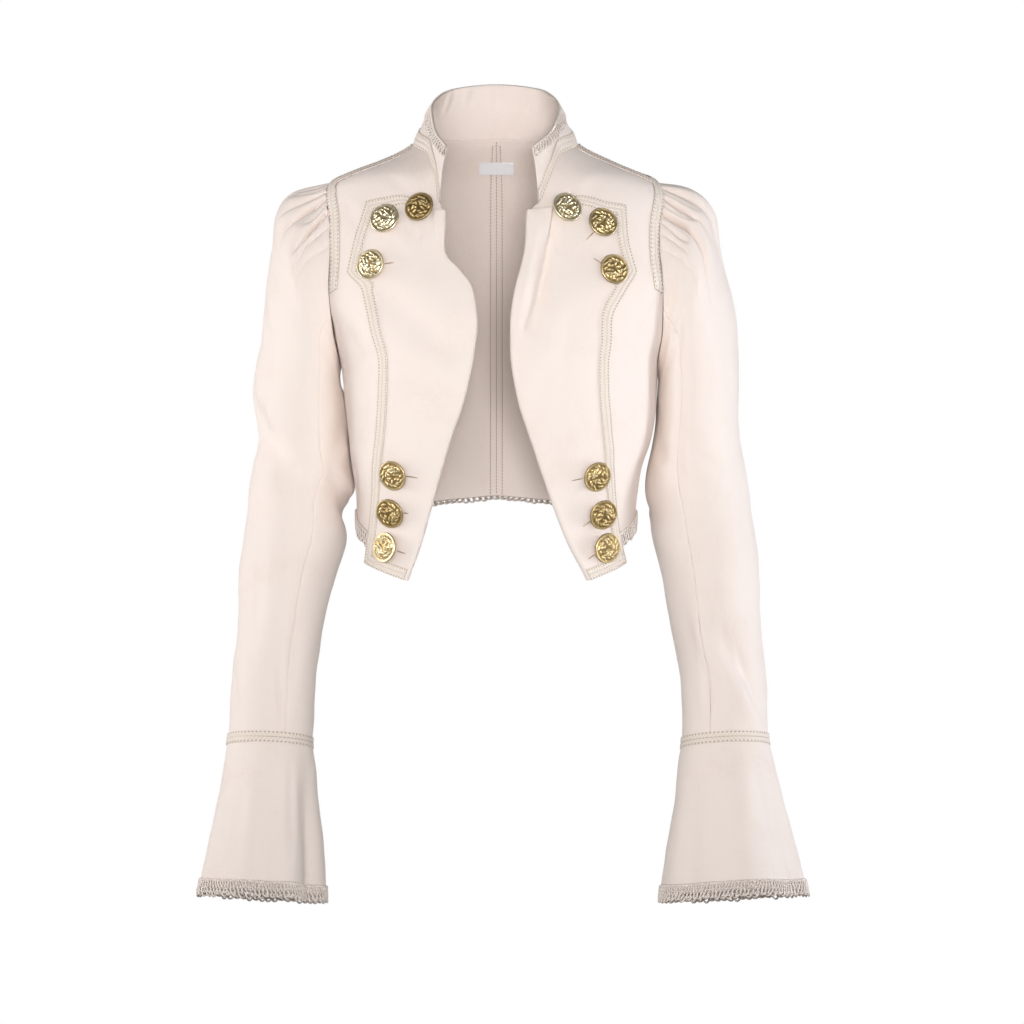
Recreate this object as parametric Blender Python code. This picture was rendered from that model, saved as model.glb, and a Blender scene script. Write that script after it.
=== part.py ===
"""Cropped military jacket, filled out as it is worn and open down the front.

Metres, +Z up. The jacket faces -Y, so the wearer's right side is at -X. The origin is the middle of the neck
opening at the height where the shoulder seams meet the collar, where the wearer's shoulders hold it up.
"""

import math
from collections import namedtuple

import bmesh
import bpy
import numpy as np

# Cloth and trims
CLOTH = 0.0018
SEAM_GAP = 0.0003
ARMHOLE_EASE = 0.0010
TRIM_GAP = 0.0009
ROLL_GAP = 0.0009
BRAID = 0.0012
BRAID_WIDTH = 0.0110
BRAID_INSET = 0.0016
LACE = 0.0014
LACE_DROP = 0.0105
LACE_SCALLOP = 0.0020
LACE_PITCH = 0.0120
COLLAR_LACE_WIDTH = 0.0090
LAPEL_RECESS = 0.0045
LAPEL_RETURN = 0.0070

# Armhole, seen from the side as an egg that touches the shoulder tip and the underarm
ARMHOLE_TOP = -0.0420
ARMHOLE_BOTTOM = -0.2260
ARMHOLE_FRONT = 0.0580
ARMHOLE_BACK = 0.0640
ARMHOLE_BRAID_END = -0.1570
ARMHOLE_BRAID_GAP = 0.0014

# Heights between which the braid lies along the shoulder seam
SHOULDER_BRAID_TOP = -0.0050
SHOULDER_BRAID_END = -0.0335

# Sleeve seams, as angles round the sleeve from its outer line
FRONT_SEAM = math.radians(114)
SLEEVE_SEAM_GAP = math.radians(0.25)

# How finely each piece is laid out
HALF_ROW = 0.5
LAPEL_COLUMNS = 4
SIDE_COLUMNS = 3
BACK_COLUMNS = 6
UNDER_COLUMNS = 7
CUFF_COLUMNS = 32
COLLAR_ROWS = 4
PLAIN_SLEEVE_COLUMNS = 3
SHOULDER_STATIONS = 8
LAPEL_ROLL_DEGREES = (-90, -30, 30, 90)
BUTTON_STEPS = 12

SIDES = {"right": -1.0, "left": 1.0}
UP = np.array([0.0, 0.0, 1.0])

# Body form: half width to each side, depth to the front and back, and how square each level is
Level = namedtuple("Level", "z right left front back square")
BODY = [
    Level(0.012, 0.0700, 0.0680, 0.046, 0.060, 2.10),
    Level(0.000, 0.0770, 0.0750, 0.052, 0.066, 2.10),
    Level(-0.014, 0.0970, 0.0990, 0.062, 0.074, 2.15),
    Level(-0.029, 0.1370, 0.1340, 0.074, 0.083, 2.20),
    Level(-0.042, 0.1670, 0.1630, 0.082, 0.089, 2.30),
    Level(-0.075, 0.1790, 0.1770, 0.093, 0.099, 2.40),
    Level(-0.134, 0.1800, 0.1790, 0.108, 0.106, 2.50),
    Level(-0.190, 0.1680, 0.1720, 0.121, 0.106, 2.40),
    Level(-0.226, 0.1550, 0.1610, 0.126, 0.102, 2.30),
    Level(-0.265, 0.1500, 0.1600, 0.121, 0.097, 2.30),
    Level(-0.300, 0.1470, 0.1550, 0.113, 0.092, 2.30),
    Level(-0.330, 0.1430, 0.1440, 0.106, 0.088, 2.30),
    Level(-0.365, 0.1390, 0.1400, 0.101, 0.085, 2.30),
    Level(-0.440, 0.1390, 0.1400, 0.100, 0.083, 2.30),
]

# Front panel, a row per section: its free edge, the lapel's outer edge and the armhole or side seam
Section = namedtuple("Section", "name edge_z edge_right edge_left lapel_z lapel_right lapel_left side_z")
FRONT = [
    Section("shoulder", 0.000, 0.0770, 0.0750, -0.0245, 0.1260, 0.1260, -0.042),
    Section("neck_1", -0.020, 0.0660, 0.0620, -0.030, 0.1260, 0.1260, -0.056),
    Section("neck_2", -0.044, 0.0585, 0.0530, -0.036, 0.1260, 0.1260, -0.070),
    Section("neck_3", -0.070, 0.0545, 0.0420, -0.048, 0.1260, 0.1260, -0.084),
    Section("lapel_top", -0.079, 0.0475, 0.0300, -0.069, 0.1260, 0.1265, -0.098),
    Section("chest", -0.116, 0.0485, 0.0278, -0.100, 0.1350, 0.1280, -0.120),
    Section("lapel_tip", -0.138, 0.0325, 0.0232, -0.137, 0.1440, 0.1365, -0.146),
    Section("above_bust", -0.156, 0.0210, 0.0185, -0.157, 0.1290, 0.1250, -0.172),
    Section("bust", -0.186, 0.0167, 0.0141, -0.184, 0.1225, 0.1125, -0.200),
    Section("underarm", -0.218, 0.0197, 0.0141, -0.216, 0.1143, 0.1097, -0.226),
    Section("under_bust", -0.262, 0.0290, 0.0207, -0.257, 0.1129, 0.1090, -0.256),
    Section("ribs", -0.296, 0.0408, 0.0315, -0.290, 0.1152, 0.1127, -0.286),
    Section("waist", -0.330, 0.0515, 0.0430, -0.322, 0.1186, 0.1143, -0.314),
    Section("below_waist", -0.366, 0.0617, 0.0560, -0.356, 0.1204, 0.1163, -0.342),
    Section("hem", -0.402, 0.0725, 0.0705, -0.398, 0.1240, 0.1217, -0.376),
    Section("lapel_hem", -0.438, 0.0850, 0.0890, -0.421, 0.1272, 0.1262, -0.400),
]
ROW = {section.name: number for number, section in enumerate(FRONT)}

# Back panel, a row per section: the neckline and centre back seam, and the armhole or side seam
BackSection = namedtuple("BackSection", "centre_degrees centre_z side_z")
BACK = [
    BackSection(90, 0.000, -0.042),
    BackSection(125, 0.004, -0.056),
    BackSection(152, 0.0075, -0.070),
    BackSection(180, 0.009, -0.084),
    BackSection(180, -0.022, -0.104),
    BackSection(180, -0.062, -0.136),
    BackSection(180, -0.105, -0.172),
    BackSection(180, -0.150, -0.204),
    BackSection(180, -0.200, -0.232),
    BackSection(180, -0.250, -0.272),
    BackSection(180, -0.302, -0.324),
    BackSection(180, -0.354, -0.376),
]
BACK_NECK_ROW = 3

# Collar rim, from a front end round to the centre back
Rim = namedtuple("Rim", "share x_right x_left y z")
COLLAR_RIM = [
    Rim(0.00, 0.0475, 0.0360, -0.080, -0.014),
    Rim(0.25, 0.0585, 0.0530, -0.052, 0.004),
    Rim(0.50, 0.0630, 0.0620, -0.006, 0.032),
    Rim(0.75, 0.0475, 0.0470, 0.042, 0.056),
    Rim(1.00, 0.0000, 0.0000, 0.058, 0.0655),
]
COLLAR_BULGE = 0.0020

# Sleeve, a row per ring below the armhole: its outer and inner points, depth, middle and forward tilt
Ring = namedtuple("Ring", "outer_z inner_z outer_right inner_right outer_left inner_left depth mid_y tilt")
SLEEVE = [
    Ring(-0.0450, -0.239, 0.1840, 0.1556, 0.1840, 0.1632, 0.061, 0.003, 0.00),
    Ring(-0.0505, -0.245, 0.2020, 0.1545, 0.2000, 0.1628, 0.066, 0.005, 0.00),
    Ring(-0.0620, -0.252, 0.2160, 0.1534, 0.2130, 0.1624, 0.069, 0.008, 0.00),
    Ring(-0.0820, -0.259, 0.2225, 0.1525, 0.2210, 0.1620, 0.071, 0.010, 0.00),
    Ring(-0.1100, -0.268, 0.2245, 0.1515, 0.2260, 0.1614, 0.071, 0.012, 0.00),
    Ring(-0.1420, -0.278, 0.2305, 0.1506, 0.2340, 0.1604, 0.070, 0.014, 0.00),
    Ring(-0.1840, -0.293, 0.2340, 0.1492, 0.2410, 0.1582, 0.067, 0.016, 0.00),
    Ring(-0.2250, -0.313, 0.2410, 0.1468, 0.2440, 0.1545, 0.064, 0.018, 0.01),
    Ring(-0.2610, -0.331, 0.2440, 0.1445, 0.2450, 0.1510, 0.061, 0.020, 0.02),
    Ring(-0.2980, -0.350, 0.2390, 0.1425, 0.2455, 0.1500, 0.059, 0.020, 0.04),
    Ring(-0.3370, -0.371, 0.2470, 0.1510, 0.2510, 0.1545, 0.057, 0.016, 0.07),
    Ring(-0.3800, -0.397, 0.2493, 0.1496, 0.2575, 0.1576, 0.055, 0.007, 0.10),
    Ring(-0.4240, -0.432, 0.2562, 0.1597, 0.2623, 0.1648, 0.052, -0.004, 0.14),
    Ring(-0.4680, -0.470, 0.2560, 0.1692, 0.2632, 0.1714, 0.048, -0.016, 0.17),
    Ring(-0.5175, -0.5175, 0.2592, 0.1756, 0.2655, 0.1793, 0.043, -0.029, 0.19),
    Ring(-0.5616, -0.5616, 0.2615, 0.1790, 0.2678, 0.1839, 0.040, -0.039, 0.20),
    Ring(-0.5955, -0.5990, 0.2640, 0.1812, 0.2684, 0.1836, 0.038, -0.045, 0.20),
]
CUFF = [
    Ring(-0.5955, -0.5990, 0.2640, 0.1812, 0.2684, 0.1836, 0.038, -0.045, 0.20),
    Ring(-0.6230, -0.6260, 0.2669, 0.1774, 0.2753, 0.1784, 0.041, -0.051, 0.20),
    Ring(-0.6530, -0.6550, 0.2728, 0.1755, 0.2822, 0.1761, 0.044, -0.057, 0.18),
    Ring(-0.6910, -0.6940, 0.2800, 0.1702, 0.2924, 0.1708, 0.047, -0.064, 0.17),
    Ring(-0.7380, -0.7444, 0.2880, 0.1678, 0.3034, 0.1646, 0.050, -0.072, 0.15),
]

# Gathers at the sleeve head: each valley's place round the seam, its depth and the ring where it ends
Gather = namedtuple("Gather", "degrees depth reach")
GATHERS = [
    Gather(-74, 0.0030, 5.0),
    Gather(-62, 0.0042, 6.5),
    Gather(-51, 0.0050, 5.5),
    Gather(-40, 0.0045, 7.0),
    Gather(-28, 0.0052, 5.0),
    Gather(-16, 0.0042, 6.0),
    Gather(-5, 0.0038, 4.5),
    Gather(6, 0.0046, 6.0),
    Gather(17, 0.0052, 5.0),
    Gather(27, 0.0058, 6.5),
    Gather(37, 0.0050, 5.5),
    Gather(47, 0.0060, 7.5),
    Gather(58, 0.0050, 5.5),
    Gather(69, 0.0044, 7.0),
]
GATHER_FULLEST = 2.0
GATHER_AT_SEAM = 0.45
GATHER_HALF_WIDTH = math.radians(3.8)

# Largest folds in the fronts, as soft lines seen from the front
Fold = namedtuple("Fold", "side x0 z0 x1 z1 half_width height")
FRONT_FOLDS = [
    Fold("right", 0.1080, -0.163, 0.0470, -0.212, 0.016, -0.0040),
    Fold("right", 0.1500, -0.190, 0.1320, -0.222, 0.014, -0.0030),
    Fold("left", 0.0360, -0.086, 0.0190, -0.190, 0.011, 0.0040),
    Fold("left", 0.0530, -0.090, 0.0340, -0.190, 0.010, -0.0030),
]

# Largest folds in the sleeves, as soft lines from one ring and angle to another
SleeveFold = namedtuple("SleeveFold", "side degrees0 ring0 degrees1 ring1 half_width height")
SLEEVE_FOLDS = [
    SleeveFold("right", 20, 9.2, 80, 10.6, 0.55, -0.0040),
    SleeveFold("right", 130, 10.0, 190, 11.2, 0.50, -0.0045),
    SleeveFold("right", 118, 15.0, 105, 16.8, 0.50, -0.0025),
    SleeveFold("left", 118, 14.6, 46, 16.7, 0.45, 0.0035),
    SleeveFold("left", 85, 14.8, 30, 16.2, 0.40, -0.0030),
    SleeveFold("left", 112, 3.0, 112, 10.0, 0.50, -0.0030),
]
DEGREES_PER_RING = 18.0

# Soft flutes that open toward the cuff's hem
Flute = namedtuple("Flute", "side degrees half_width height")
FLUTE_OPENING = 1.3
CUFF_FLUTES = [
    Flute("right", 25, 16, 0.0035),
    Flute("right", 78, 18, 0.0045),
    Flute("right", 128, 13, -0.0055),
    Flute("right", 200, 22, 0.0040),
    Flute("right", 262, 18, -0.0045),
    Flute("right", 318, 18, 0.0040),
    Flute("left", 40, 14, -0.0045),
    Flute("left", 82, 17, 0.0055),
    Flute("left", 134, 15, -0.0050),
    Flute("left", 196, 20, 0.0040),
    Flute("left", 250, 17, -0.0045),
    Flute("left", 310, 18, 0.0045),
]

# Buttons: place seen from the front, the lean of each shank to the side and upward, and braids under it
Button = namedtuple("Button", "name side x z lean_side lean_up braids")
BUTTONS = [
    Button("button_right_1", "right", 0.0716, -0.0780, 14, 4, 1),
    Button("button_right_2", "right", 0.1055, -0.0875, -4, 4, 0),
    Button("button_right_3", "right", 0.1185, -0.1320, -4, 0, 0),
    Button("button_right_4", "right", 0.0965, -0.3341, 0, -6, 0),
    Button("button_right_5", "right", 0.0985, -0.3710, 4, -18, 0),
    Button("button_right_6", "right", 0.1039, -0.4060, -4, 6, 0),
    Button("button_left_1", "left", 0.0672, -0.0785, 14, 4, 1),
    Button("button_left_2", "left", 0.1024, -0.0915, -4, 4, 0),
    Button("button_left_3", "left", 0.1125, -0.1370, -4, 0, 0),
    Button("button_left_4", "left", 0.0955, -0.3351, 0, -6, 0),
    Button("button_left_5", "left", 0.1009, -0.3725, 6, -16, 0),
    Button("button_left_6", "left", 0.1049, -0.4055, 2, -8, 0),
]
BUTTON_RADIUS = 0.0143
SHANK_HEIGHT = 0.0030
Turn = namedtuple("Turn", "radius height")
BUTTON_PROFILE = [
    Turn(0.0000, 0.0000),
    Turn(0.0030, 0.0000),
    Turn(0.0030, SHANK_HEIGHT),
    Turn(0.0134, 0.0034),
    Turn(BUTTON_RADIUS, 0.0043),
    Turn(0.0134, 0.0052),
    Turn(0.0075, 0.0064),
    Turn(0.0000, 0.0069),
]

# Blank label inside the back neck
LABEL_HALF_WIDTH = 0.0180
LABEL_TOP = -0.0125
LABEL_BOTTOM = -0.0245
LABEL = 0.0010
LABEL_COLUMNS = 4

# Colour, roughness and metallic of each material
MATERIALS = {
    "ivory_cotton": ((0.855, 0.760, 0.680, 1.0), 0.90, 0.0),
    "ivory_braid": ((0.830, 0.745, 0.650, 1.0), 0.85, 0.0),
    "ivory_crochet": ((0.780, 0.690, 0.600, 1.0), 0.90, 0.0),
    "antique_brass": ((0.560, 0.420, 0.200, 1.0), 0.35, 1.0),
    "white_tape": ((0.860, 0.850, 0.820, 1.0), 0.70, 0.0),
}


def column(table, name):
    """One named column of a table as an array."""
    return np.array([getattr(row, name) for row in table], dtype=float)


def smooth(knots, values, at):
    """Monotone cubic through the knots, so that a curve never swings past the rows of its table."""
    steps = np.diff(knots)
    slopes = np.diff(values) / steps
    tangents = np.concatenate([slopes[:1], np.zeros(len(knots) - 2), slopes[-1:]])
    before, after = slopes[:-1], slopes[1:]
    weight_before = 2 * steps[1:] + steps[:-1]
    weight_after = steps[1:] + 2 * steps[:-1]
    rising = before * after > 0
    safe_before = np.where(rising, before, 1.0)
    safe_after = np.where(rising, after, 1.0)
    mean = (weight_before + weight_after) / (weight_before / safe_before + weight_after / safe_after)
    tangents[1:-1] = np.where(rising, mean, 0.0)
    at = np.asarray(at, dtype=float)
    cell = np.clip(np.searchsorted(knots, at, side="right") - 1, 0, len(steps) - 1)
    share = (at - knots[cell]) / steps[cell]
    start, end = values[cell], values[cell + 1]
    bend_start = tangents[cell] * steps[cell]
    bend_end = tangents[cell + 1] * steps[cell]
    return (start * (1 + 2 * share) * (1 - share) ** 2 + bend_start * share * (1 - share) ** 2
            + end * share ** 2 * (3 - 2 * share) - bend_end * share ** 2 * (1 - share))


def signed_power(value, power):
    """Power of a signed value that keeps its sign."""
    return np.sign(value) * np.abs(value) ** power


def unit(vectors):
    """Vectors scaled to length one."""
    return vectors / np.linalg.norm(vectors, axis=-1, keepdims=True)


def body_size(name, z):
    """A named size of the body form at a height."""
    return smooth(-column(BODY, "z"), column(BODY, name), -np.asarray(z, dtype=float))


def on_form(side, angle, z):
    """Point of the body form at a girth angle (0 centre front, 90 side, 180 centre back) and a height."""
    power = 2.0 / body_size("square", z)
    sine, cosine = np.sin(angle), np.cos(angle)
    depth = np.where(cosine > 0, body_size("front", z), body_size("back", z))
    x = SIDES[side] * body_size(side, z) * signed_power(sine, power)
    y = -depth * signed_power(cosine, power)
    return np.stack([x, y, np.broadcast_to(z, x.shape)], axis=-1)


def form_normal(side, angle, z):
    """Outward direction of the body form."""
    turn, rise = 0.01, 0.001
    along = on_form(side, angle + turn, z) - on_form(side, angle - turn, z)
    up = on_form(side, angle, z + rise) - on_form(side, angle, z - rise)
    normal = unit(np.cross(along, up))
    outward = on_form(side, angle, z) * np.array([1.0, 1.0, 0.0])
    facing = np.sign(np.sum(normal * outward, axis=-1, keepdims=True))
    return normal * facing


def angle_at(side, x, z):
    """Girth angle on the front of the form at a distance from the middle."""
    share = np.clip(np.abs(x) / body_size(side, z), 0.0, 1.0)
    return np.arcsin(share ** (body_size("square", z) / 2.0))


def side_angle(z, depth, form_depth):
    """Angle from the side seam to the armhole's edge; zero on the side seam below the underarm."""
    middle = (ARMHOLE_TOP + ARMHOLE_BOTTOM) / 2.0
    half = (ARMHOLE_TOP - ARMHOLE_BOTTOM) / 2.0
    height = np.clip((z - middle) / half, -1.0, 1.0)
    reach = depth * np.sqrt(1.0 - height ** 2)
    return np.arcsin(np.clip(reach / body_size(form_depth, z), 0.0, 1.0) ** (body_size("square", z) / 2.0))


def soft_line(x, z, fold):
    """Height of a soft fold line at a place seen from the front: a bell across it, fading at both ends."""
    run = np.array([fold.x1 - fold.x0, fold.z1 - fold.z0])
    length = np.hypot(run[0], run[1])
    along = ((x - fold.x0) * run[0] + (z - fold.z0) * run[1]) / length ** 2
    across = ((x - fold.x0) * run[1] - (z - fold.z0) * run[0]) / length
    beyond = np.maximum(np.abs(along - 0.5) - 0.5, 0.0) * length
    return fold.height * np.exp(-(across ** 2 + beyond ** 2) / fold.half_width ** 2)


def front_at(side, row, across):
    """Front panel at a row of its table and a place across: 0 free edge, 1 lapel's edge, 2 side.

    Gives the points on the body form, folds included, and the outward directions.
    """
    numbers = np.arange(len(FRONT), dtype=float)
    tip = ROW["lapel_tip"]
    edge_z = column(FRONT, "edge_z")
    lapel_z = column(FRONT, "lapel_z")
    edge_turn = angle_at(side, column(FRONT, "edge_" + side), edge_z)
    lapel_turn = angle_at(side, column(FRONT, "lapel_" + side), lapel_z)
    edge_turn[0] = lapel_turn[0] = math.pi / 2
    edge = smooth(numbers, edge_turn, row), smooth(numbers, edge_z, row)
    above = smooth(numbers[:tip + 1], lapel_turn[:tip + 1], np.minimum(row, tip))
    below = smooth(numbers[tip:], lapel_turn[tip:], np.maximum(row, tip))
    lapel = np.where(row < tip, above, below), smooth(numbers, lapel_z, row)
    seam_z = smooth(numbers, column(FRONT, "side_z"), row)
    seam = math.pi / 2 - side_angle(seam_z, ARMHOLE_FRONT, "front"), seam_z
    inner = np.clip(across, 0.0, 1.0)
    outer = np.clip(across - 1.0, 0.0, 1.0)
    angle, z = (edge[part] + (lapel[part] - edge[part]) * inner + (seam[part] - lapel[part]) * outer
                for part in (0, 1))
    points, normals = on_form(side, angle, z), form_normal(side, angle, z)
    height = sum(soft_line(np.abs(points[..., 0]), z, fold) for fold in FRONT_FOLDS if fold.side == side)
    return points + normals * height[..., None], normals


def back_at(side, row, across):
    """Back panel at a row of its table and a place across: 0 neckline or centre back, 1 armhole or side."""
    numbers = np.arange(len(BACK), dtype=float)
    centre_z = smooth(numbers, column(BACK, "centre_z"), row)
    centre = np.radians(smooth(numbers, column(BACK, "centre_degrees"), row))
    seam_z = smooth(numbers, column(BACK, "side_z"), row)
    seam = math.pi / 2 + side_angle(seam_z, ARMHOLE_BACK, "back")
    angle = centre + (seam - centre) * across
    z = centre_z + (seam_z - centre_z) * across
    return on_form(side, angle, z), form_normal(side, angle, z)


def armhole_at(side, theta):
    """Armhole at angles round it: 0 shoulder tip, 90 front, 180 underarm, 270 back."""
    middle = (ARMHOLE_TOP + ARMHOLE_BOTTOM) / 2.0
    half = (ARMHOLE_TOP - ARMHOLE_BOTTOM) / 2.0
    z = middle + half * np.cos(theta)
    front = math.pi / 2 - side_angle(z, ARMHOLE_FRONT, "front")
    back = math.pi / 2 + side_angle(z, ARMHOLE_BACK, "back")
    points = on_form(side, np.where(np.sin(theta) >= 0, front, back), z)
    points[..., 0] += SIDES[side] * ARMHOLE_EASE
    return points


def ring_at(side, ring, theta):
    """One ring of a sleeve or cuff: an ellipse between its outer and inner points, tilted forward."""
    outer = np.array([SIDES[side] * getattr(ring, "outer_" + side), ring.mid_y, ring.outer_z])
    inner = np.array([SIDES[side] * getattr(ring, "inner_" + side), ring.mid_y, ring.inner_z])
    forward = np.array([0.0, -1.0, ring.tilt]) * ring.depth
    return ((outer + inner) / 2 + (outer - inner) / 2 * np.cos(theta)[..., None]
            + forward * np.sin(theta)[..., None])


def angle_between(theta, degrees):
    """Shortest turn from one angle to another, in radians."""
    return (theta - math.radians(degrees) + math.pi) % (2 * math.pi) - math.pi


def gathers_at(theta, ring):
    """Height of the gathers: a valley at each row of the table, fullest just outside the seam."""
    height = np.zeros(np.broadcast(theta, ring).shape)
    for gather in GATHERS:
        valley = np.exp(-(angle_between(theta, gather.degrees) / GATHER_HALF_WIDTH) ** 2)
        opening = GATHER_AT_SEAM + (1 - GATHER_AT_SEAM) * np.clip(ring / GATHER_FULLEST, 0.0, 1.0)
        closing = np.clip((gather.reach - ring) / (gather.reach - GATHER_FULLEST), 0.0, 1.0)
        height = height - gather.depth * valley * opening * closing
    return height


def sleeve_folds_at(side, theta, ring):
    """Height of the sleeve's soft folds, measured in rings along it and in turns round it."""
    height = np.zeros(np.broadcast(theta, ring).shape)
    for fold in (fold for fold in SLEEVE_FOLDS if fold.side == side):
        turns = np.degrees(angle_between(theta, fold.degrees0)) / DEGREES_PER_RING
        run_turns = (fold.degrees1 - fold.degrees0) / DEGREES_PER_RING
        line = Fold(side, 0.0, 0.0, run_turns, fold.ring1 - fold.ring0, fold.half_width, fold.height)
        height = height + soft_line(turns, ring - fold.ring0, line)
    return height * np.clip(len(SLEEVE) - ring, 0.0, 1.0) * np.clip(ring, 0.0, 1.0)


def sleeve_rings(side, theta):
    """Plain sleeve: the armhole ring, then the rings of the table."""
    return np.stack([armhole_at(side, theta)] + [ring_at(side, ring, theta) for ring in SLEEVE])


def cuff_rings(side, theta):
    """Plain cuff from the wrist seam to its hem."""
    rings = np.stack([ring_at(side, ring, theta) for ring in CUFF])
    rings[0, :, 2] -= SEAM_GAP
    return rings


def tube_normals(rings, side, theta):
    """Outward directions of a tube of rings, from how it runs along and round."""
    turn = 0.01
    along = np.gradient(rings(side, theta), axis=0)
    around = rings(side, theta + turn) - rings(side, theta - turn)
    normals = unit(np.cross(along, around))
    middle = rings(side, np.linspace(0, 2 * math.pi, 32, endpoint=False)).mean(axis=1, keepdims=True)
    facing = np.sum(normals * (rings(side, theta) - middle), axis=-1, keepdims=True)
    return normals * np.sign(facing)


def clear_scene():
    """Remove whatever the scene holds."""
    for item in list(bpy.data.objects):
        bpy.data.objects.remove(item, do_unlink=True)


def make_materials():
    """One plain material per kind of stuff."""
    made = {}
    for name, (colour, roughness, metallic) in MATERIALS.items():
        material = bpy.data.materials.new(name)
        material.use_nodes = True
        shader = material.node_tree.nodes["Principled BSDF"]
        shader.inputs["Base Color"].default_value = colour
        shader.inputs["Roughness"].default_value = roughness
        shader.inputs["Metallic"].default_value = metallic
        made[name] = material
    return made


def add_object(name, mesh, material):
    """Link a mesh as a named object, with facets split the same way on every piece."""
    mesh.materials.append(material)
    piece = bpy.data.objects.new(name, mesh)
    bpy.context.scene.collection.objects.link(piece)
    facets = piece.modifiers.new("Facets", "TRIANGULATE")
    facets.quad_method = "FIXED"
    return piece


def add_wall(name, outer, inner, material, closed=False):
    """A closed wall between an outer and an inner lattice of points; a closed one runs round a tube."""
    rows, columns = outer.shape[:2]
    count = rows * columns
    number = np.arange(count).reshape(rows, columns)
    if closed:
        number = np.concatenate([number, number[:, :1]], axis=1)
    quads = np.stack([number[:-1, :-1], number[:-1, 1:], number[1:, 1:], number[1:, :-1]], axis=-1)
    faces = [quads.reshape(-1, 4), quads[..., [0, 3, 2, 1]].reshape(-1, 4) + count]
    borders = [number[0], number[-1][::-1]]
    if not closed:
        borders += [number[:, -1], number[::-1, 0]]
    for border in borders:
        start, end = border[:-1], border[1:]
        faces.append(np.stack([end, start, start + count, end + count], axis=-1))
    points = np.concatenate([outer.reshape(-1, 3), inner.reshape(-1, 3)])
    mesh = bpy.data.meshes.new(name)
    mesh.from_pydata(points.tolist(), [], np.concatenate(faces).tolist())
    shape = bmesh.new()
    shape.from_mesh(mesh)
    bmesh.ops.recalc_face_normals(shape, faces=shape.faces)
    shape.to_mesh(mesh)
    shape.free()
    return add_object(name, mesh, material)


def rows_between(first, last, fine):
    """Row places from one row of a table to another, with half steps as far as the fine row."""
    return np.concatenate([np.arange(first, fine, HALF_ROW), np.arange(fine, last + 1)])


def front_lattice(side, first, last, across):
    """Front panel's points and outward directions over a span of rows, half a gap off the side seams."""
    rows = rows_between(ROW[first], ROW[last], ROW["underarm"])
    row, across = np.meshgrid(rows, across, indexing="ij")
    points, normals = front_at(side, row, across)
    points[..., 1] -= SEAM_GAP / 2
    return points, normals


def back_lattice(side):
    """Back panel's points and outward directions, half a gap off the side and centre back seams."""
    rows = rows_between(0, len(BACK) - 1, BACK_NECK_ROW)
    row, across = np.meshgrid(rows, np.linspace(0.0, 1.0, BACK_COLUMNS + 1), indexing="ij")
    points, normals = back_at(side, row, across)
    points[..., 0] += SIDES[side] * SEAM_GAP / 2
    points[..., 1] += SEAM_GAP / 2
    return points, normals


def along_line(line, distance):
    """Point at a distance from the start of a run of points, on the straight pieces between them."""
    gone = np.concatenate([[0.0], np.cumsum(np.linalg.norm(np.diff(line, axis=0), axis=1))])
    return np.array([np.interp(distance, gone, line[:, axis]) for axis in range(3)])


def make_front(side, cotton):
    """Front panel from the shoulder seam to the hem; its free edge stops inside the lapel's roll."""
    across = np.concatenate([np.linspace(0, 1, LAPEL_COLUMNS + 1), np.linspace(1, 2, SIDE_COLUMNS + 1)[1:]])
    points, normals = front_lattice(side, "shoulder", "hem", across)
    top = round(ROW["lapel_top"] / HALF_ROW)
    inward = unit(points[top:, 1] - points[top:, 0])
    points[top:, 0] += inward * LAPEL_RECESS
    add_wall("front_" + side, points, points - normals * CLOTH, cotton)
    return points, normals


def make_lapel(side, cotton):
    """Lapel turned back over the front panel, rolled round its free edge."""
    points, normals = front_lattice(side, "lapel_top", "lapel_hem", np.linspace(0, 1, LAPEL_COLUMNS + 1))
    inward = unit(points[:, 1] - points[:, 0])
    out = normals[:, 0]
    inner_radius = CLOTH / 2 + ROLL_GAP
    outer_radius = inner_radius + CLOTH
    middle = points[:, 0] + inward * outer_radius - out * CLOTH / 2
    roll_outer = [middle - out * outer_radius + inward * LAPEL_RETURN]
    roll_inner = [middle - out * inner_radius + inward * LAPEL_RETURN]
    for turn in np.radians(LAPEL_ROLL_DEGREES):
        direction = out * math.sin(turn) - inward * math.cos(turn)
        roll_outer.append(middle + direction * outer_radius)
        roll_inner.append(middle + direction * inner_radius)
    flat_outer = points[:, 1:] + normals[:, 1:] * (SEAM_GAP + CLOTH)
    flat_inner = points[:, 1:] + normals[:, 1:] * SEAM_GAP
    outer = np.concatenate([np.stack(roll_outer, axis=1), flat_outer], axis=1)
    inner = np.concatenate([np.stack(roll_inner, axis=1), flat_inner], axis=1)
    add_wall("lapel_" + side, outer, inner, cotton)
    rolled = np.concatenate([roll_outer[-1][:, None], flat_outer], axis=1)
    return rolled, normals


def make_lapel_braid(side, lapel, normals, stuff):
    """Braid along the lapel's top, outer and lower edges, mitred at the two corners."""
    rows, columns = lapel.shape[:2]
    edge, inner, out, inner_out = [], [], [], []

    def add(row, col, place):
        nearest = np.argmin(np.linalg.norm(lapel - place, axis=-1))
        edge.append(lapel[row, col])
        inner.append(place)
        out.append(normals[row, col])
        inner_out.append(normals.reshape(-1, 3)[nearest])

    def corner(row, toward):
        level = along_line(lapel[row, ::-1], BRAID_WIDTH)
        next_level = along_line(lapel[row + toward, ::-1], BRAID_WIDTH)
        return along_line(np.stack([level, next_level]), BRAID_WIDTH)

    for col in range(columns - 1):
        add(0, col, along_line(lapel[:, col], BRAID_WIDTH))
    add(0, columns - 1, corner(0, 1))
    for row in range(1, rows - 1):
        add(row, columns - 1, along_line(lapel[row, ::-1], BRAID_WIDTH))
    add(rows - 1, columns - 1, corner(rows - 1, -1))
    for col in range(columns - 2, -1, -1):
        add(rows - 1, col, along_line(lapel[::-1, col], BRAID_WIDTH))
    add_strip("lapel_braid_" + side, [edge, inner], [out, inner_out], BRAID, stuff)


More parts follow.
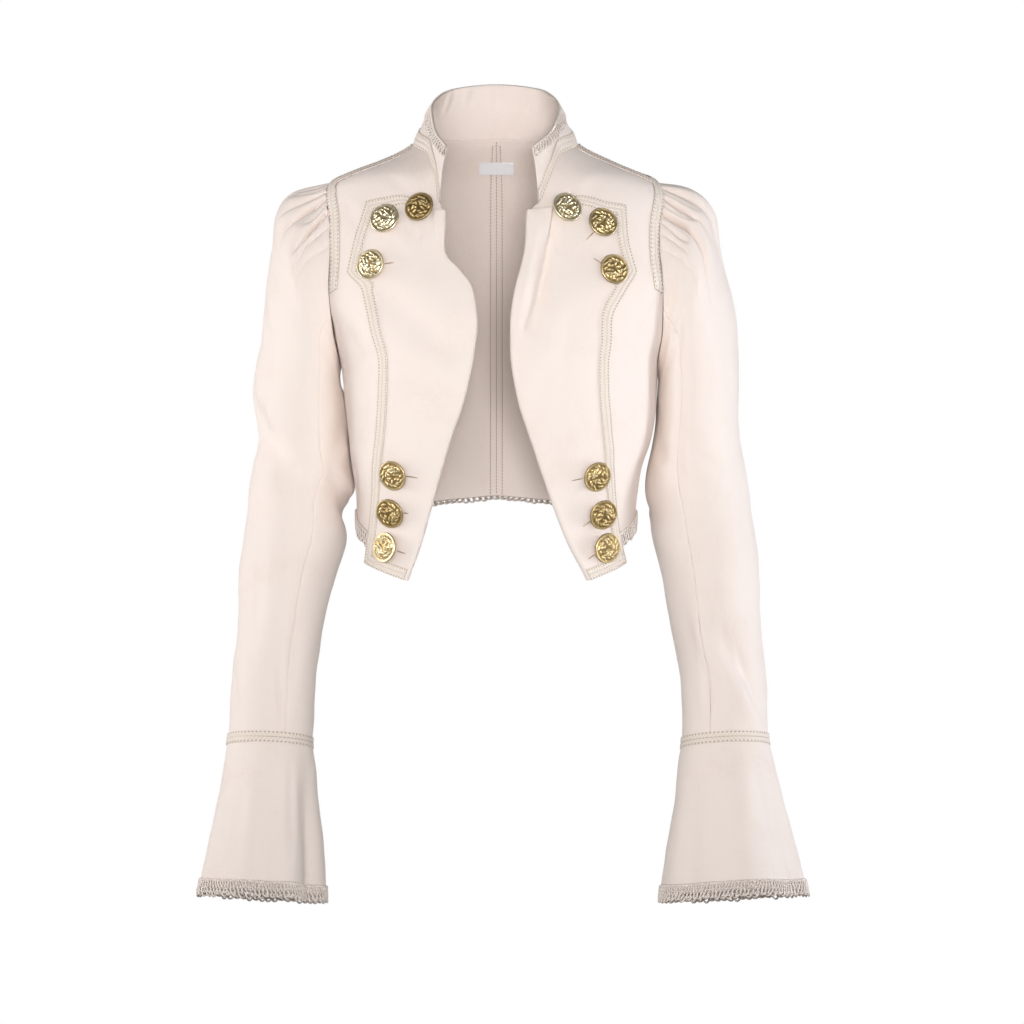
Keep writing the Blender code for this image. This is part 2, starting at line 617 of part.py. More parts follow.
def add_strip(name, lines, directions, thickness, stuff, lift=TRIM_GAP):
    """Flat trim over a run of points: lines lifted off the panel along its outward directions."""
    base, out = np.array(lines), np.array(directions)
    add_wall(name, base + out * (lift + thickness), base + out * lift, stuff)


def make_back(side, cotton):
    """Back panel from the shoulder seam to the hem."""
    points, normals = back_lattice(side)
    add_wall("back_" + side, points, points - normals * CLOTH, cotton)
    return points, normals


def make_collar(fronts, backs, cotton):
    """Stand collar on the neckline of all four panels, leaning in toward its rim."""
    neck_rows = round(ROW["neck_3"] / HALF_ROW) + 1
    back_rows = round(BACK_NECK_ROW / HALF_ROW) + 1
    halves = {}
    for side in SIDES:
        base = np.concatenate([fronts[side][:neck_rows, 0][::-1], backs[side][1:back_rows, 0]])
        steps = np.linalg.norm(np.diff(base, axis=0), axis=1)
        share = np.concatenate([[0.0], np.cumsum(steps)]) / steps.sum()
        knots = column(COLLAR_RIM, "share")
        rim = np.stack([SIDES[side] * smooth(knots, column(COLLAR_RIM, "x_" + side), share),
                        smooth(knots, column(COLLAR_RIM, "y"), share),
                        smooth(knots, column(COLLAR_RIM, "z"), share)], axis=-1)
        halves[side] = base, rim
    base, rim = (np.concatenate([halves["right"][part], halves["left"][part][-2::-1]]) for part in (0, 1))
    rise = unit(rim - base)
    base = base + rise * SEAM_GAP
    share = np.linspace(0.0, 1.0, COLLAR_ROWS + 1)[:, None, None]
    points = base + (rim - base) * share
    normals = unit(np.cross(np.gradient(points, axis=1), np.gradient(points, axis=0)))
    normals *= np.sign(np.sum(normals * points * np.array([1.0, 1.0, 0.0]), axis=-1, keepdims=True))
    points = points + normals * COLLAR_BULGE * np.sin(math.pi * share)
    add_wall("collar", points, points - normals * CLOTH, cotton)
    return points, normals


def make_collar_trims(points, normals, braid, crochet):
    """Braid along the neck seam and crochet edging along the rim, on the collar's outer face."""
    columns = range(points.shape[1])
    low = [along_line(points[:, col], 0.0) for col in columns]
    high = [along_line(points[:, col], BRAID_WIDTH) for col in columns]
    add_strip("neck_braid", [low, high], [normals[0], normals[0]], BRAID, braid)
    rim = [points[-1, col] for col in columns]
    under = [along_line(points[::-1, col], COLLAR_LACE_WIDTH) for col in columns]
    add_strip("collar_lace", [under, rim], [normals[-1], normals[-1]], LACE, crochet)


def make_shoulder_braid(side, braid):
    """Braid laid along the ridge of the shoulder seam."""
    half = BRAID_WIDTH / 2
    z = np.linspace(SHOULDER_BRAID_TOP, SHOULDER_BRAID_END, SHOULDER_STATIONS)
    power = body_size("square", z) / 2.0
    forward = math.pi / 2 - np.arcsin((half / body_size("front", z)) ** power)
    rearward = math.pi / 2 + np.arcsin((half / body_size("back", z)) ** power)
    angles = [forward, np.full(SHOULDER_STATIONS, math.pi / 2), rearward]
    lines = [on_form(side, angle, z) for angle in angles]
    directions = [form_normal(side, angle, z) for angle in angles]
    add_strip("shoulder_braid_" + side, lines, directions, BRAID, braid)


def make_armhole_braid(side, front, back, braid):
    """Braid inside the armhole seam, from the front chest over the shoulder tip and down the back."""
    lines, directions = [], []
    for (points, normals), order in ((front, -1), (back, 1)):
        last = np.flatnonzero(points[:, -1, 2] >= ARMHOLE_BRAID_END)[-1]
        for row in range(last + 1)[::order]:
            inward = points[row, ::-1]
            places = [along_line(inward, BRAID_INSET + BRAID_WIDTH * share) for share in (0.0, 0.5, 1.0)]
            nearest = [np.argmin(np.linalg.norm(points[row] - place, axis=1)) for place in places]
            lines.append(places)
            directions.append(normals[row, nearest])
    lines, directions = np.swapaxes(lines, 0, 1), np.swapaxes(directions, 0, 1)
    add_strip("armhole_braid_" + side, lines, directions, BRAID, braid, ARMHOLE_BRAID_GAP)


def make_sleeve(side, cotton):
    """Top sleeve with a gathered head, and the under sleeve between the two long seams."""
    valleys = np.radians(column(GATHERS, "degrees"))
    ridges = (valleys[:-1] + valleys[1:]) / 2
    head = np.sort(np.concatenate([valleys, ridges]))
    seam = FRONT_SEAM - SLEEVE_SEAM_GAP
    rear = np.linspace(-seam, valleys[0], PLAIN_SLEEVE_COLUMNS + 1)[:-1]
    front = np.linspace(valleys[-1], seam, PLAIN_SLEEVE_COLUMNS + 1)[1:]
    top = np.concatenate([rear, head, front])
    seam = FRONT_SEAM + SLEEVE_SEAM_GAP
    under = np.linspace(seam, 2 * math.pi - seam, UNDER_COLUMNS + 1)
    for part, theta in (("top", top), ("under", under)):
        rings = sleeve_rings(side, theta)
        normals = tube_normals(sleeve_rings, side, theta)
        number = np.arange(len(rings))[:, None]
        height = gathers_at(theta, number) + sleeve_folds_at(side, theta, number)
        outer = rings + normals * height[..., None]
        add_wall("sleeve_" + part + "_" + side, outer, outer - normals * CLOTH, cotton)


def make_cuff(side, cotton, braid, crochet):
    """Flared cuff with soft flutes, a braid over the wrist seam and a crochet edging below its hem."""
    theta = np.linspace(0, 2 * math.pi, CUFF_COLUMNS, endpoint=False)
    rings = cuff_rings(side, theta)
    normals = tube_normals(cuff_rings, side, theta)
    open_share = np.linspace(0.0, 1.0, len(CUFF))[:, None] ** FLUTE_OPENING
    height = np.zeros((len(CUFF), CUFF_COLUMNS))
    for flute in (flute for flute in CUFF_FLUTES if flute.side == side):
        bell = np.exp(-(np.degrees(angle_between(theta, flute.degrees)) / flute.half_width) ** 2)
        height = height + flute.height * bell * open_share
    outer = rings + normals * height[..., None]
    add_wall("cuff_" + side, outer, outer - normals * CLOTH, cotton, closed=True)
    make_wrist_braid(side, braid)
    fall = unit(outer[-1] - outer[-2])
    make_lace("cuff_lace_" + side, outer[-1], normals[-1], fall, crochet, closed=True)


def make_wrist_braid(side, braid):
    """Band round the seam between the sleeve and the cuff."""
    theta = np.linspace(0, 2 * math.pi, CUFF_COLUMNS, endpoint=False)
    wrist = ring_at(side, SLEEVE[-1], theta)
    above = ring_at(side, SLEEVE[-2], theta)
    below = ring_at(side, CUFF[1], theta)
    normals = tube_normals(cuff_rings, side, theta)[0]
    half = BRAID_WIDTH / 2
    upper = wrist + unit(above - wrist) * half
    lower = wrist + unit(below - wrist) * half
    lines = np.array([upper, wrist, lower])
    outer = lines + normals * (TRIM_GAP + BRAID)
    add_wall("wrist_braid_" + side, outer, lines + normals * TRIM_GAP, braid, closed=True)


def make_lace(name, hem, normals, fall, crochet, closed=False):
    """Crochet edging that hangs from a hem, with a scalloped lower edge."""
    line = np.concatenate([hem, hem[:1]]) if closed else hem
    out = np.concatenate([normals, normals[:1]]) if closed else normals
    down = np.concatenate([fall, fall[:1]]) if closed else fall
    gone = np.concatenate([[0.0], np.cumsum(np.linalg.norm(np.diff(line, axis=0), axis=1))])
    points = 2 * round(gone[-1] / LACE_PITCH)
    stations = np.linspace(0.0, gone[-1], points + 1)
    if closed:
        stations = stations[:-1]

    def spread(values):
        return np.stack([np.interp(stations, gone, values[:, axis]) for axis in range(3)], axis=-1)

    place, out, down = spread(line), unit(spread(out)), unit(spread(down))
    drop = LACE_DROP - LACE_SCALLOP * (np.arange(len(stations)) % 2)
    outer = np.stack([place + down * SEAM_GAP, place + down * drop[:, None]]) - out * SEAM_GAP
    add_wall(name, outer, outer - out * LACE, crochet, closed=closed)


def make_hem_lace(fronts, backs, crochet):
    """One edging along the hem of the fronts and backs, from one lapel's edge round to the other."""
    line, out = [], []
    for side, order in (("right", 1), ("left", -1)):
        front_points, front_normals = fronts[side]
        back_points, back_normals = backs[side]
        points = np.concatenate([front_points[-1, LAPEL_COLUMNS:], back_points[-1, ::-1]])
        normals = np.concatenate([front_normals[-1, LAPEL_COLUMNS:], back_normals[-1, ::-1]])
        line.append(points[::order])
        out.append(normals[::order])
    line, out = np.concatenate(line), np.concatenate(out)
    fall = unit(out * out[:, 2:] - UP)
    make_lace("hem_lace", line, out, fall, crochet)


def make_label(tape):
    """Blank label across the centre back seam, just below the collar."""
    x = np.linspace(-LABEL_HALF_WIDTH, LABEL_HALF_WIDTH, LABEL_COLUMNS + 1)
    x, z = np.meshgrid(x, np.array([LABEL_TOP, LABEL_BOTTOM]))
    angle = math.pi - angle_at("left", np.abs(x), z)
    points = on_form("left", angle, z)
    normals = form_normal("left", angle, z)
    points[..., 0] = x
    normals[..., 0] *= np.sign(x)
    face = CLOTH + TRIM_GAP
    add_wall("label", points - normals * face, points - normals * (face + LABEL), tape)


def make_button(button, brass):
    """Domed shank button turned about its own axis, standing off the lapel just clear of it."""
    z = np.array(button.z)
    angle = angle_at(button.side, np.array(button.x), z)
    out = form_normal(button.side, angle, z)
    fold = sum(soft_line(button.x, button.z, fold) for fold in FRONT_FOLDS if fold.side == button.side)
    place = on_form(button.side, angle, z) + out * (SEAM_GAP + CLOTH + fold)
    sideways = unit(np.cross(UP, out)) * -SIDES[button.side]
    upward = np.cross(out, np.cross(UP, out))
    axis = unit(out + sideways * math.tan(math.radians(button.lean_side))
                + unit(upward) * math.tan(math.radians(button.lean_up)))
    lean = math.acos(float(np.clip(axis @ out, -1.0, 1.0)))
    dip = max(0.0, BUTTON_RADIUS * math.sin(lean) - SHANK_HEIGHT * math.cos(lean))
    stand = dip + TRIM_GAP + button.braids * (TRIM_GAP + BRAID)
    across = unit(np.cross(axis, UP))
    shape = bmesh.new()
    base = place + out * stand
    profile = [shape.verts.new(base + across * turn.radius + axis * turn.height) for turn in BUTTON_PROFILE]
    edges = [shape.edges.new(pair) for pair in zip(profile[:-1], profile[1:])]
    bmesh.ops.spin(shape, geom=profile + edges, cent=base, axis=axis, angle=2 * math.pi,
                   steps=BUTTON_STEPS, use_merge=True)
    bmesh.ops.remove_doubles(shape, verts=shape.verts, dist=1e-5)
    bmesh.ops.recalc_face_normals(shape, faces=shape.faces)
    mesh = bpy.data.meshes.new(button.name)
    shape.to_mesh(mesh)
    shape.free()
    add_object(button.name, mesh, brass)


def main():
    """Build every piece of the jacket."""
    clear_scene()
    stuff = make_materials()
    cotton, braid, crochet = (stuff[name] for name in ("ivory_cotton", "ivory_braid", "ivory_crochet"))
    fronts = {side: make_front(side, cotton) for side in SIDES}
    backs = {side: make_back(side, cotton) for side in SIDES}
    for side in SIDES:
        lapel, normals = make_lapel(side, cotton)
        make_lapel_braid(side, lapel, normals, braid)
        make_armhole_braid(side, fronts[side], backs[side], braid)
        make_shoulder_braid(side, braid)
        make_sleeve(side, cotton)
        make_cuff(side, cotton, braid, crochet)
    collar, normals = make_collar({side: fronts[side][0] for side in SIDES},
                                  {side: backs[side][0] for side in SIDES}, cotton)
    make_collar_trims(collar, normals, braid, crochet)
    make_hem_lace(fronts, backs, crochet)
    make_label(stuff["white_tape"])
    for button in BUTTONS:
        make_button(button, stuff["antique_brass"])


main()
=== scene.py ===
"""Looks of the cropped ivory military jacket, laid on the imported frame.

Metres, +Z up. The open front faces -Y and the wearer's right side is at -X, as in the frame. Each cloth
piece is a thin shell on the form of its solid with finer folds, and the braid, crochet, stitches and
buttons lie on it.
"""

import math
from collections import namedtuple

import bmesh
import bpy
import numpy as np
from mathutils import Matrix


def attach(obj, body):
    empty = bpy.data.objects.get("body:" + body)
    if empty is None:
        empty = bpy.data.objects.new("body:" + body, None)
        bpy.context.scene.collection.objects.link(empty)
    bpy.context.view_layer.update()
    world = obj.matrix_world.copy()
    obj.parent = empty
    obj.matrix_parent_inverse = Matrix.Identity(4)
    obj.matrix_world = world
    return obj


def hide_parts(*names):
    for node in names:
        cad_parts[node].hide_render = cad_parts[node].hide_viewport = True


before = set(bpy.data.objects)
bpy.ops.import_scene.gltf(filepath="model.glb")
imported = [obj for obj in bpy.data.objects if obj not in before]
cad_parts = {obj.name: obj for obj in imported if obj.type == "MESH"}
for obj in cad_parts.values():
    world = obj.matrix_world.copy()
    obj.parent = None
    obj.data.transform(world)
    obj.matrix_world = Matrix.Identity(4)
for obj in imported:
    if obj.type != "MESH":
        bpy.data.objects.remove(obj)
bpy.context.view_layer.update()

SIDES = {"right": -1.0, "left": 1.0}
UP = np.array([0.0, 0.0, 1.0])
FLAT = np.array([1.0, 1.0, 0.0])


def table(names, rows):
    """Rows with named columns, or a dictionary of them. Columns before the bar are given in millimetres."""
    if isinstance(rows, dict):
        return {key: table(names, own) for key, own in rows.items()}
    lengths, others = (part.split() for part in names.split("|"))
    Row = namedtuple("Row", lengths + others)
    return [Row(*(value / 1000 for value in row[:len(lengths)]), *row[len(lengths):]) for row in rows]


# Cloth: how thick it is here and in the solids, the gaps at seams, and its faint ripples and slubs
CLOTH = 0.0016
LAYER = 0.0018
SEAM_GAP = 0.0003
ARMHOLE_EASE = 0.0002
RIPPLE_WAVES = 10
RIPPLE_LENGTHS = (0.03, 0.10)
RIPPLE_FLATNESS = 260
BODY_SEED, SLEEVE_SEED, CUFF_SEED, COLLAR_SEED = 3, 5, 7, 9
SLUB_LENGTH, SLUB_WIDTH = 0.014, 0.0009

# Patterns of the finishes, by the size of one wave: clouds of 45 mm and fuzz of 4 mm on the cloth, stains
# of 2.4 mm on the metal and a mottle of 330 mm on the floor
CLOUD, FUZZ, STAIN, MOTTLE = 1 / 22, 1 / 240, 1 / 420, 1 / 3

# Armhole, seen from the side as an egg that touches the shoulder tip and the underarm
ARMHOLE_TOP, ARMHOLE_BOTTOM = -0.0420, -0.2260
ARMHOLE_MIDDLE = (ARMHOLE_TOP + ARMHOLE_BOTTOM) / 2
ARMHOLE_HALF = (ARMHOLE_TOP - ARMHOLE_BOTTOM) / 2
ARMHOLE_FRONT = 0.0580
ARMHOLE_BACK = 0.0640
SLEEVE_SEAM = math.radians(114)
SLEEVE_FIRST_STEP = 0.05

# Body form: half width to each side, depth to the front and back, and how square each level is
BODY = table("z right left front back | square", [
    (12, 70, 68, 46, 60, 2.1),
    (0, 77, 75, 52, 66, 2.1),
    (-14, 97, 99, 62, 74, 2.15),
    (-29, 137, 134, 74, 83, 2.2),
    (-42, 167, 163, 82, 89, 2.3),
    (-75, 179, 177, 93, 99, 2.4),
    (-134, 180, 179, 108, 106, 2.5),
    (-190, 168, 172, 121, 106, 2.4),
    (-226, 155, 161, 126, 102, 2.3),
    (-265, 150, 160, 121, 97, 2.3),
    (-300, 147, 155, 113, 92, 2.3),
    (-330, 143, 144, 106, 88, 2.3),
    (-365, 139, 140, 101, 85, 2.3),
    (-440, 139, 140, 100, 83, 2.3),
])
BODY_SOFTNESS = 0.0080

# Front panel, a row per section: its free edge, the lapel's outer edge and the armhole or side seam
FRONT = table("edge_z edge_right edge_left lapel_z lapel_right lapel_left side_z |", [
    (0, 77, 75, -24.5, 126, 126, -42),
    (-20, 66, 62, -30, 126, 126, -56),
    (-44, 58.5, 53, -36, 126, 126, -70),
    (-70, 54.5, 42, -48, 126, 126, -84),
    (-79, 47.5, 30, -69, 126, 126.5, -98),
    (-116, 48.5, 27.8, -100, 135, 128, -120),
    (-138, 32.5, 23.2, -137, 144, 136.5, -146),
    (-156, 21, 18.5, -157, 129, 125, -172),
    (-186, 16.7, 14.1, -184, 122.5, 112.5, -200),
    (-218, 19.7, 14.1, -216, 114.3, 109.7, -226),
    (-262, 29, 20.7, -257, 112.9, 109, -256),
    (-296, 40.8, 31.5, -290, 115.2, 112.7, -286),
    (-330, 51.5, 43, -322, 118.6, 114.3, -314),
    (-366, 61.7, 56, -356, 120.4, 116.3, -342),
    (-402, 72.5, 70.5, -398, 124, 121.7, -376),
    (-438, 85, 89, -421, 127.2, 126.2, -400),
])
ROW = {"neck_3": 3, "lapel_top": 4, "lapel_tip": 6, "hem": 14, "lapel_hem": 15}
FRONT_ROWS = 165

# Back panel, a row per section: the neckline and centre back seam, and the armhole or side seam
BACK = table("centre_z side_z | centre_degrees", [
    (0, -42, 90), (4, -56, 125), (7.5, -70, 152), (9, -84, 180), (-22, -104, 180), (-62, -136, 180),
    (-105, -172, 180), (-150, -204, 180), (-200, -232, 180), (-250, -272, 180), (-302, -324, 180),
    (-354, -376, 180),
])
BACK_NECK_ROW = 3
BACK_HEM_ROW = len(BACK) - 1

# Collar rim, from a front end round to the centre back
COLLAR_RIM = table("x_right x_left y z | share", [
    (47.5, 36, -80, -14, 0), (58.5, 53, -52, 4, 0.25), (63, 62, -6, 32, 0.5), (47.5, 47, 42, 56, 0.75),
    (0, 0, 58, 64, 1),
])
COLLAR_BULGE = 0.0020
COLLAR_LAP = 0.0007
COLLAR_HEIGHT = 0.0550
COLLAR_RIPPLE = 0.8

# Sleeve, a row per ring below the armhole: its outer and inner points, depth, middle and forward tilt
SLEEVE = table("outer_z inner_z outer_right inner_right outer_left inner_left depth mid_y | tilt", [
    (-45, -239, 184, 155.6, 184, 163.2, 61, 3, 0),
    (-50.5, -245, 202, 154.5, 200, 162.8, 66, 5, 0),
    (-62, -252, 216, 153.4, 213, 162.4, 69, 8, 0),
    (-82, -259, 222.5, 152.5, 221, 162, 71, 10, 0),
    (-110, -268, 224.5, 151.5, 226, 161.4, 71, 12, 0),
    (-142, -278, 230.5, 150.6, 234, 160.4, 70, 14, 0),
    (-184, -293, 234, 149.2, 241, 158.2, 67, 16, 0),
    (-225, -313, 241, 146.8, 244, 154.5, 64, 18, 0.01),
    (-261, -331, 244, 144.5, 245, 151, 61, 20, 0.02),
    (-298, -350, 239, 142.5, 245.5, 150, 59, 20, 0.04),
    (-337, -371, 247, 151, 251, 154.5, 57, 16, 0.07),
    (-380, -397, 249.3, 149.6, 257.5, 157.6, 55, 7, 0.1),
    (-424, -432, 256.2, 159.7, 262.3, 164.8, 52, -4, 0.14),
    (-468, -470, 256, 169.2, 263.2, 171.4, 48, -16, 0.17),
    (-517.5, -517.5, 259.2, 175.6, 265.5, 179.3, 43, -29, 0.19),
    (-561.6, -561.6, 261.5, 179, 267.8, 183.9, 40, -39, 0.2),
    (-595.5, -599, 264, 181.2, 268.4, 183.6, 38, -45, 0.2),
])

# Cuff, the same from the wrist to its hem
CUFF = table("outer_z inner_z outer_right inner_right outer_left inner_left depth mid_y | tilt", [
    (-595.5, -599, 264, 181.2, 268.4, 183.6, 38, -45, 0.2),
    (-623, -626, 266.9, 177.4, 275.3, 178.4, 41, -51, 0.2),
    (-653, -655, 272.8, 175.5, 282.2, 176.1, 44, -57, 0.18),
    (-691, -694, 280, 170.2, 292.4, 170.8, 47, -64, 0.17),
    (-738, -744.4, 288, 167.8, 303.4, 164.6, 50, -72, 0.15),
])
CUFF_ROUND = np.linspace(0, 2 * math.pi, 128, endpoint=False)

# Lapel: its roll and how that eases down, the front's recess inside it, its return, how far it stands off
# the front, and its columns as shares across with how many in each run
ROLL_RADIUS = 0.0036
ROLL_EASE = 0.0080
LAPEL_RECESS = 0.0045
RECESS_REACH, RECESS_START = 0.25, 0.9
LAPEL_RETURN = 0.0070
LAPEL_STAND = SEAM_GAP + LAYER
LAPEL_COLUMNS = ((0.0, 0.14, 8), (0.14, 0.30, 29), (0.30, 1.0, 32))

# Lapel's top edge: how many rows it rises above its first row, from the free edge to the outer corner
LAPEL_RISE = table("| across rows", {
    "right": [
        (0, 0), (0.16, 0), (0.21, 0.6), (0.28, 0.86), (0.41, 0.82), (0.73, 0.34), (1, 0.05),
    ],
    "left": [
        (0, 0), (0.26, 0), (0.31, 0.55), (0.37, 0.86), (0.52, 0.6), (0.74, 0.14), (1, -0.1),
    ],
})

# Front edge folded over the lapel: its far line from the middle, how far it stands off and its softness
FOLDED_EDGE = table("z line stand soft |", {
    "right": [
        (-79, 60, 2.2, 0.8), (-98, 59.8, 1.8, 1), (-120, 59, 0, 4),
    ],
    "left": [
        (-79, 54.8, 6.2, 0.9), (-100, 51.6, 6.8, 0.9), (-125, 46.8, 6.8, 1), (-150, 40.5, 6, 1.3),
        (-175, 33.5, 3.8, 3), (-205, 24, 0, 6),
    ],
})
FOLDED_WIDTH = 0.0260
FOLDED_LEAST = 0.25

# Gathers at the sleeve head: each valley's depth, the degrees round the seam where it starts and ends,
# the ring where it ends, its half width and how far it bows between. Those at the back are like those
# shown at the front.
GATHERS = table("depth | start end reach half_degrees bow", {
    "right": [
        (3, -75, -80, 4.8, 2.2, 0), (4.2, -63, -70, 3.8, 1.8, 0), (5.6, -51, -58, 5.6, 1.9, 0),
        (5, -40, -44, 3.6, 1.7, 0), (6, -29, -34, 5, 1.8, 0), (4.4, -18, -20, 3.4, 1.6, 0),
        (5.2, -7, -9, 4.4, 1.7, 0), (1.8, 3, 1, 2.8, 1.6, 0), (2.6, 13, 9, 3.4, 1.6, 2),
        (1.8, 21, 17, 2.4, 1.5, 4), (8.2, 29, 26, 3.8, 1.5, 5), (9.8, 36.5, 41, 4.6, 1.6, 6),
        (1.4, 44, 50, 2.4, 1.8, 5), (8, 50, 62, 3.7, 1.5, 6), (1.6, 61, 71, 4.6, 2.2, 3),
        (1.2, 74, 79, 5.6, 2.4, 0),
    ],
    "left": [
        (3.2, -73, -79, 5.4, 2.2, 0), (4.8, -60, -66, 3.6, 1.8, 0), (5.4, -49, -55, 5.2, 1.8, 0),
        (5.6, -37, -43, 4.2, 1.7, 0), (5, -26, -28, 5.4, 1.8, 0), (4.6, -14, -17, 3.2, 1.6, 0),
        (4.8, -4, -5, 4.6, 1.7, 0), (1.8, 6, 5, 2.9, 1.5, 1), (1.8, 14, 10, 3.4, 1.6, 3),
        (10.6, 22, 13, 7, 1.6, 8), (2, 29.5, 33, 3, 1.4, 6), (8, 36, 40, 4.2, 1.5, 7),
        (1.8, 43, 46, 2.4, 1.4, 5), (10.4, 51, 58, 6.8, 1.8, 4), (3.8, 58, 64, 2.2, 1.2, 3),
        (1.8, 66, 71, 3.2, 1.8, 2), (1.4, 76, 80, 5.2, 2.4, 0),
    ],
})
GATHER_FULLEST = 1.1
GATHER_AT_SEAM = 0.50
GATHER_SEWN = 0.09
GATHER_WIDENS = 0.10
CROWD_HALF_WIDTH, CROWDING = math.radians(1.8), 3.0

# Parts of a gather and of a crease across it, in its half widths: a gather has a puffed ridge beside it,
# its valley and the sharp crack in that; a crease has its valley and a low ridge beside it
GATHER_PARTS = table("| height place half_width power", [
    (0.30, -2.4, 1.5, 2), (-0.7, 0, 1, 1.1), (-0.55, 0, 0.40, 1.2),
])
CREASE_PARTS = table("| height place half_width power", [(1, 0, 1, 2), (-0.45, 1.9, 1.2, 2)])
CREASE_END, CREASE_FADE = 0.55, 1.3

# Soft folds of the solids, as lines from one place to another. On the fronts u is the distance from the
# middle and v the height; on the sleeves u is degrees round and v the ring.
FRONT_FOLDS = table("u0 v0 u1 v1 half_width height |", {
    "right": [
        (108, -163, 47, -212, 16, -4), (150, -190, 132, -222, 14, -3),
    ],
    "left": [
        (36, -86, 19, -190, 11, 4), (53, -90, 34, -190, 10, -3),
    ],
})
SLEEVE_FOLDS = table("height | u0 v0 u1 v1 half_width", {
    "right": [
        (-4, 20, 9.2, 80, 10.6, 0.55), (-4.5, 130, 10, 190, 11.2, 0.5), (-2.5, 118, 15, 105, 16.8, 0.5),
    ],
    "left": [
        (3.5, 118, 14.6, 46, 16.7, 0.45), (-3, 85, 14.8, 30, 16.2, 0.4), (-3, 112, 3, 112, 10, 0.5),
    ],
})
RINGS_PER_DEGREE = 1 / 18

# Finer creases: on fronts, backs and collar by distance and height, on sleeves and cuffs by degrees and ring
PANEL_CREASES = table("u0 v0 u1 v1 bow half_width height |", {
    "front_right": [
        (87.7, -89, 80, -108, 1, 3.2, -1.2), (75.1, -93.9, 73.1, -115, 1, 3.5, -1),
        (100, -102, 86, -130, -2, 5, -0.8), (152.6, -188, 131.3, -235.3, 4, 6, -1.2),
        (125, -250, 140, -305, 3, 7, -1.4), (60, -190, 73.1, -330.3, 6, 10, -1),
        (88, -230, 56, -290, -5, 8.5, -1.1), (105, -342, 70, -356, 2, 5, -0.9),
        (108, -42, 82, -66, 3, 6, -1), (150, -62, 134, -100, 2, 6, -0.9),
    ],
    "front_left": [
        (59, -84, 37, -190, 2, 7, -4.6), (57.7, -96, 66, -124, 2, 3.4, -1.1),
        (90, -108, 76, -142, -2, 5, -1), (77, -165.6, 62.5, -270, 4, 9.5, -1.2),
        (145, -178, 122.6, -235.3, 4, 6.5, -1.3), (135, -248, 118, -295, -3, 7, -1.3),
        (56, -215, 40, -290, 3, 9, -1), (105, -42, 90, -70, 3, 6, -1.1), (98, -343, 74, -360, 2, 5, -0.9),
    ],
    "back_right": [
        (115, -115, 88, -250, 6, 12, -1.6), (62, -150, 76, -320, 5, 10, -1.2),
        (135, -255, 70, -305, -6, 9, -1.8), (38, -40, 98, -92, 4, 8, -1.2), (30, -260, 42, -345, 2, 8, -1),
    ],
    "back_left": [
        (120, -130, 100, -235, 6, 11, -1.8), (56, -175, 66, -330, -4, 11, -1.2),
        (130, -280, 55, -318, 6, 8.5, -1.6), (45, -50, 105, -85, 3, 7, -1),
        (25, -100, 40, -220, 3, 9, -0.9),
    ],
    "collar": [
        (-62, 26, -55, 62, 1, 4.5, -1.4), (-36, 34, -33, 64, 1, 4, -1.2), (-8, 30, -12, 62, 1, 5.5, -0.9),
        (30, 20, 36, 60, 2, 6, -1.1), (105, 12, 118, 46, 2, 6, -1.2), (-112, 10, -122, 44, 2, 6, -1),
    ],
})
TUBE_CREASES = table("bow half_width height | u0 v0 u1 v1", {
    "sleeve_right": [
        (4, 6, -2.2, 50, 8.2, 12, 10.2), (4, 6, -2.2, 152, 7, 122, 9.2), (-4, 7, -1.4, 18, 6.2, 62, 8),
        (3, 6.5, -1.6, 95, 9.8, 60, 11.4), (5, 9, -1.4, 50, 11.8, 58, 15.2),
        (-2, 5, -1.6, 96, 14.4, 112, 16.7), (2, 5, -1.2, 20, 15, 42, 16.8),
        (5, 7.5, -2.6, 300, 8.8, 246, 10.6), (-4, 6.5, -2, 318, 10.4, 262, 11.6),
        (4, 8, -1.5, 292, 12.4, 306, 14.8), (3, 5.5, -1.6, 240, 14.6, 276, 16.6),
        (3, 6, -2, 215, 9.6, 180, 10.6), (0, 14, 5.6, 180, 2, 180, 8),
    ],
    "sleeve_left": [
        (4, 6.5, -2, 100, 9.2, 52, 10.9), (3, 6, -2, 150, 7.6, 118, 9.6), (-4, 8, -1.4, 62, 7, 30, 9.4),
        (4, 8.5, -1.4, 98, 12.6, 92, 15.4), (2, 4.2, -2, 116, 14.9, 112, 16.8),
        (3, 4.8, -2, 72, 14.8, 36, 16.4), (4, 8, -1.2, 30, 11, 46, 13.6), (5, 7, -2.4, 304, 9, 250, 10.4),
        (4, 7, -2, 322, 10.8, 270, 12), (-4, 8, -1.4, 300, 12.8, 288, 15),
        (3, 5.5, -1.6, 250, 14.8, 282, 16.7), (3, 6, -2, 208, 10, 172, 11.2),
    ],
    "cuff_right": [
        (2, 4.5, -1.6, 120, 0.6, 114, 4.2), (-2, 7, -1, 62, 1.2, 70, 4.2), (1, 4, -0.9, 96, 2.2, 90, 4.3),
        (2, 7, -1.4, 236, 0.8, 246, 4.2), (-2, 6, -1.1, 306, 1.4, 298, 4.2),
    ],
    "cuff_left": [
        (2, 6, -1.4, 58, 0.5, 50, 4.2), (-2, 6.5, -1.1, 104, 1, 110, 4.2), (1, 3.5, -1, 30, 2.4, 27, 4.3),
        (2, 7, -1.4, 222, 0.8, 230, 4.2), (-2, 6, -1.1, 288, 1.2, 296, 4.2),
    ],
})
METRES_PER_STEP = (0.00085, 0.0360)

